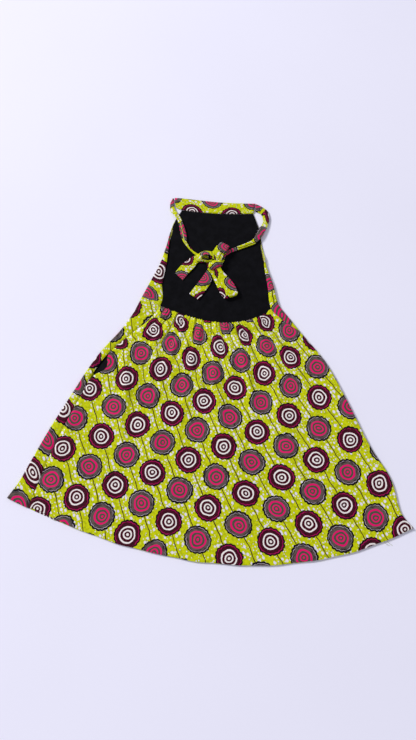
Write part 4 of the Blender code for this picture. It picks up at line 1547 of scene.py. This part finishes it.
@dataclass
class BowKnot:
    """The bow's knot: the strip wrapped round its own ends and pulled into soft ridges."""

    centre: Triple = (11.4, 165.8, 7.3)
    size: Triple = (24.2, 15.6, 11.0)
    turn: float = 24.0
    around: int = 72
    along: int = 60
    print_column: float = 0.24
    print_row: float = 0.5
    column_pitch: float = 54.0
    row_pitch: float = 62.0

    def rows(self) -> list[ClothRow]:
        """Returns the rings of points along the knot."""
        spin = Matrix.Rotation(math.radians(self.turn), 3, "Z")
        long, wide, high = (0.5 * size for size in self.size)
        made = []
        for j in range(self.along + 1):
            s = -1.0 + 2.0 * j / self.along
            girth = max(0.0, 1.0 - abs(s) ** 2.6) ** 0.45
            points, columns = [], []
            for k, angle in enumerate(ring_angles(self.around, -0.5 * math.pi)):
                ridge = 0.07 * math.sin(7.0 * s + 1.4 * math.sin(angle) + 0.6)
                ridge += 0.035 * math.sin(15.0 * s - 2.1 * math.sin(angle + 0.7))
                size = girth * (1.0 + ridge)
                y = wide * size * math.cos(angle) * (1.0 + 0.06 * math.cos(angle))
                place = Vector((long * s, y, high * size * math.sin(angle)))
                points.append(spin @ place + Vector(self.centre))
                below = (FULL_TURN * k / self.around - math.pi) * wide
                columns.append(self.print_column + below / self.column_pitch)
            line = self.print_row + long * s / self.row_pitch
            made.append(ClothRow.ring(points, columns, [line] * len(points)))
        return made

    def build(self, outfit: Outfit, cloth: WaxPrint) -> None:
        """Builds and dresses the knot.

        Args:
            outfit: what dresses it.
            cloth: the cloth it is made of.
        """
        obj = cloth_object("knot_cloth", self.rows(), closed=True)
        outfit.finish(obj, cloth, "wax_print_bow", "bow_knot")


@dataclass(frozen=True)
class LooseThread:
    """One end of sewing thread that hangs off an edge, on a curve through three points."""

    name: str
    start: Triple
    middle: Triple
    end: Triple
    radius: float = 0.16
    cells: int = 16
    sides: int = 6

    def build(self, outfit: Outfit) -> Piece:
        """Builds and dresses the thread.

        Args:
            outfit: what dresses it.

        Returns:
            The thread.
        """
        one, two, three = (Vector(point) for point in (self.start, self.middle, self.end))
        angles = ring_angles(self.sides)
        unprinted = np.zeros(len(angles))
        rows = []
        for j in range(self.cells + 1):
            t = j / self.cells
            point = (1 - t) ** 2 * one + 2 * t * (1 - t) * two + t * t * three
            ahead = ((1 - t) * (two - one) + t * (three - two)).normalized()
            aside = ahead.cross(UP).normalized()
            up = aside.cross(ahead)
            ring = [point + (aside * math.cos(a) + up * math.sin(a)) * self.radius for a in angles]
            rows.append(ClothRow.ring(ring, unprinted, unprinted))
        obj = cloth_object(self.name, rows, closed=True)
        return outfit.finish(obj, SewingThread(), "wax_print_back")


LOOSE_THREADS = (
    LooseThread("loose_thread_1", (249, -258.6, 2.4), (254, -262, 2), (259, -266.5, 0.4)),
    LooseThread("loose_thread_2", (246.5, -259.3, 2.4), (249, -265, 2), (255, -266, 0.4)),
    LooseThread("loose_thread_3", (-226, -228.5, 2.2), (-221, -233, 1.2), (-215, -232, 0.4)),
)


@dataclass
class Stitching:
    """Rows of machine stitches, each stitch a small rounded grain of thread."""

    outfit: Outfit
    pitch: float = 2.8
    length: float = 1.05
    width: float = 0.26

    def sew(self, name: str, path: Sequence[Vector], slot: str) -> Piece:
        """Sews a line of stitches on cloth that faces up.

        Args:
            name: the stitch line's name.
            path: the points that the line follows on the cloth's face, in millimetres.
            slot: the record's material slot.

        Returns:
            The line of stitches as one object.
        """
        bm = bmesh.new()
        shape = Matrix.Diagonal((self.length * MM, self.width * MM, self.width * MM, 1.0))
        wait = 0.0
        for one, two in zip(path, path[1:]):
            step = two - one
            wait -= step.length
            if wait > 0.0:
                continue
            wait += self.pitch
            ahead = step.normalized()
            aside = UP.cross(ahead).normalized()
            turn = Matrix((ahead, aside, ahead.cross(aside))).transposed().to_4x4()
            place = Matrix.Translation((one + two) * 0.5 * MM)
            bmesh.ops.create_icosphere(bm, subdivisions=1, radius=1.0, matrix=place @ turn @ shape)
        return self.outfit.finish(link_mesh(name, bm), SewingThread(), slot)


@dataclass
class Studio:
    """The pale floor, the soft light from the upper left, and the camera."""

    eye: Triple = (-0.001, -0.2444, 0.8228)
    tilt: float = 16.0
    lens: float = 27.05
    floor_size: float = 3.0
    floor_colour: Triple = (0.79, 0.785, 0.915)
    floor_shade: float = 0.985
    world_colour: Triple = (0.93, 0.93, 1.0)
    world_strength: float = 0.47

    def floor(self) -> None:
        """Lays the floor that the dress lies on."""
        bm = bmesh.new()
        bmesh.ops.create_grid(bm, x_segments=2, y_segments=2, size=self.floor_size)
        obj = link_mesh("studio_floor", bm)
        bench = NodeBench("studio_floor")
        place = bench.add("TexCoord").outputs["Object"]
        shade = bench.span(bench.noise(place, 3.0), 0.3, 0.7)
        colour = bench.blend(shade, self.floor_colour, tuple(self.floor_shade * c for c in self.floor_colour))
        bench.feed(bench.shader, {"Base Color": colour, "Roughness": 0.9, "Specular IOR Level": 0.1})
        obj.data.materials.append(bench.material)
        obj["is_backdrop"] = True

    def place(self, obj: Piece, spot: Triple, turn: Sequence[float]) -> None:
        """Puts a lamp or the camera in the scene.

        Args:
            obj: the lamp or camera.
            spot: where it stands.
            turn: its rotation.
        """
        obj.location = spot
        obj.rotation_euler = turn
        bpy.context.scene.collection.objects.link(obj)

    def lamp(self, name: str, spot: Triple, size: float, watts: float, colour: Triple) -> None:
        """Hangs a soft square lamp that faces the dress.

        Args:
            name: the object's name.
            spot: where it stands.
            size: its side, in metres.
            watts: its power.
            colour: its light's colour.
        """
        light = bpy.data.lights.new(name, "AREA")
        light.shape = "SQUARE"
        light.size = size
        light.energy = watts
        light.color = colour
        turn = (-Vector(spot)).to_track_quat("-Z", "Y").to_euler()
        self.place(bpy.data.objects.new(name, light), spot, turn)

    def build(self) -> None:
        """Sets up the floor, lights, background and camera."""
        self.floor()
        self.lamp("key_light", (-4.3, 2.8, 3.4), 1.3, 375.0, (1.0, 0.99, 0.98))
        self.lamp("fill_light", (0.4, -1.8, 2.2), 1.6, 6.0, (0.94, 0.94, 1.0))
        scene = bpy.context.scene
        world = bpy.data.worlds.new("studio")
        world.use_nodes = True
        back = world.node_tree.nodes["Background"]
        back.inputs[0].default_value = (*self.world_colour, 1.0)
        back.inputs[1].default_value = self.world_strength
        scene.world = world
        scene.view_settings.view_transform = "Standard"
        camera = bpy.data.cameras.new("camera")
        camera.lens = self.lens
        camera.sensor_width = 36.0
        camera.sensor_fit = "AUTO"
        camera.dof.use_dof = False
        scene.camera = bpy.data.objects.new("camera", camera)
        self.place(scene.camera, self.eye, (math.radians(self.tilt), 0.0, 0.0))


def write_sizes() -> None:
    """Works out the solid model's box and the dressed model's box."""
    boxes = [[list(map(float, corner)) for corner in box] for box in (CAD_BOX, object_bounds())]


def main() -> None:
    """Builds the dress and the studio round it."""
    logging.basicConfig(level=logging.INFO, format="%(name)s: %(message)s")
    Studio().build()
    form, outfit = DressForm(), Outfit()
    print_cloth, black = WaxPrint(), BlackCotton()
    FrontPanel(form, outfit).build(print_cloth)
    BibLining(form, outfit).build(black)
    PocketBag(form, outfit).build(black)
    sewing = Stitching(outfit)
    BackPanel(form, outfit).build(print_cloth, sewing)
    for strip in strips():
        seam = []
        if strip.name == "neck_band_cloth":
            seam = [sewing.sew("band_stitches", strip.edge_line(-0.8), strip.slot)]
        strip.build(outfit, print_cloth, seam)
    BowKnot().build(outfit, print_cloth)
    write_sizes()


if __name__ == "__main__":
    main()
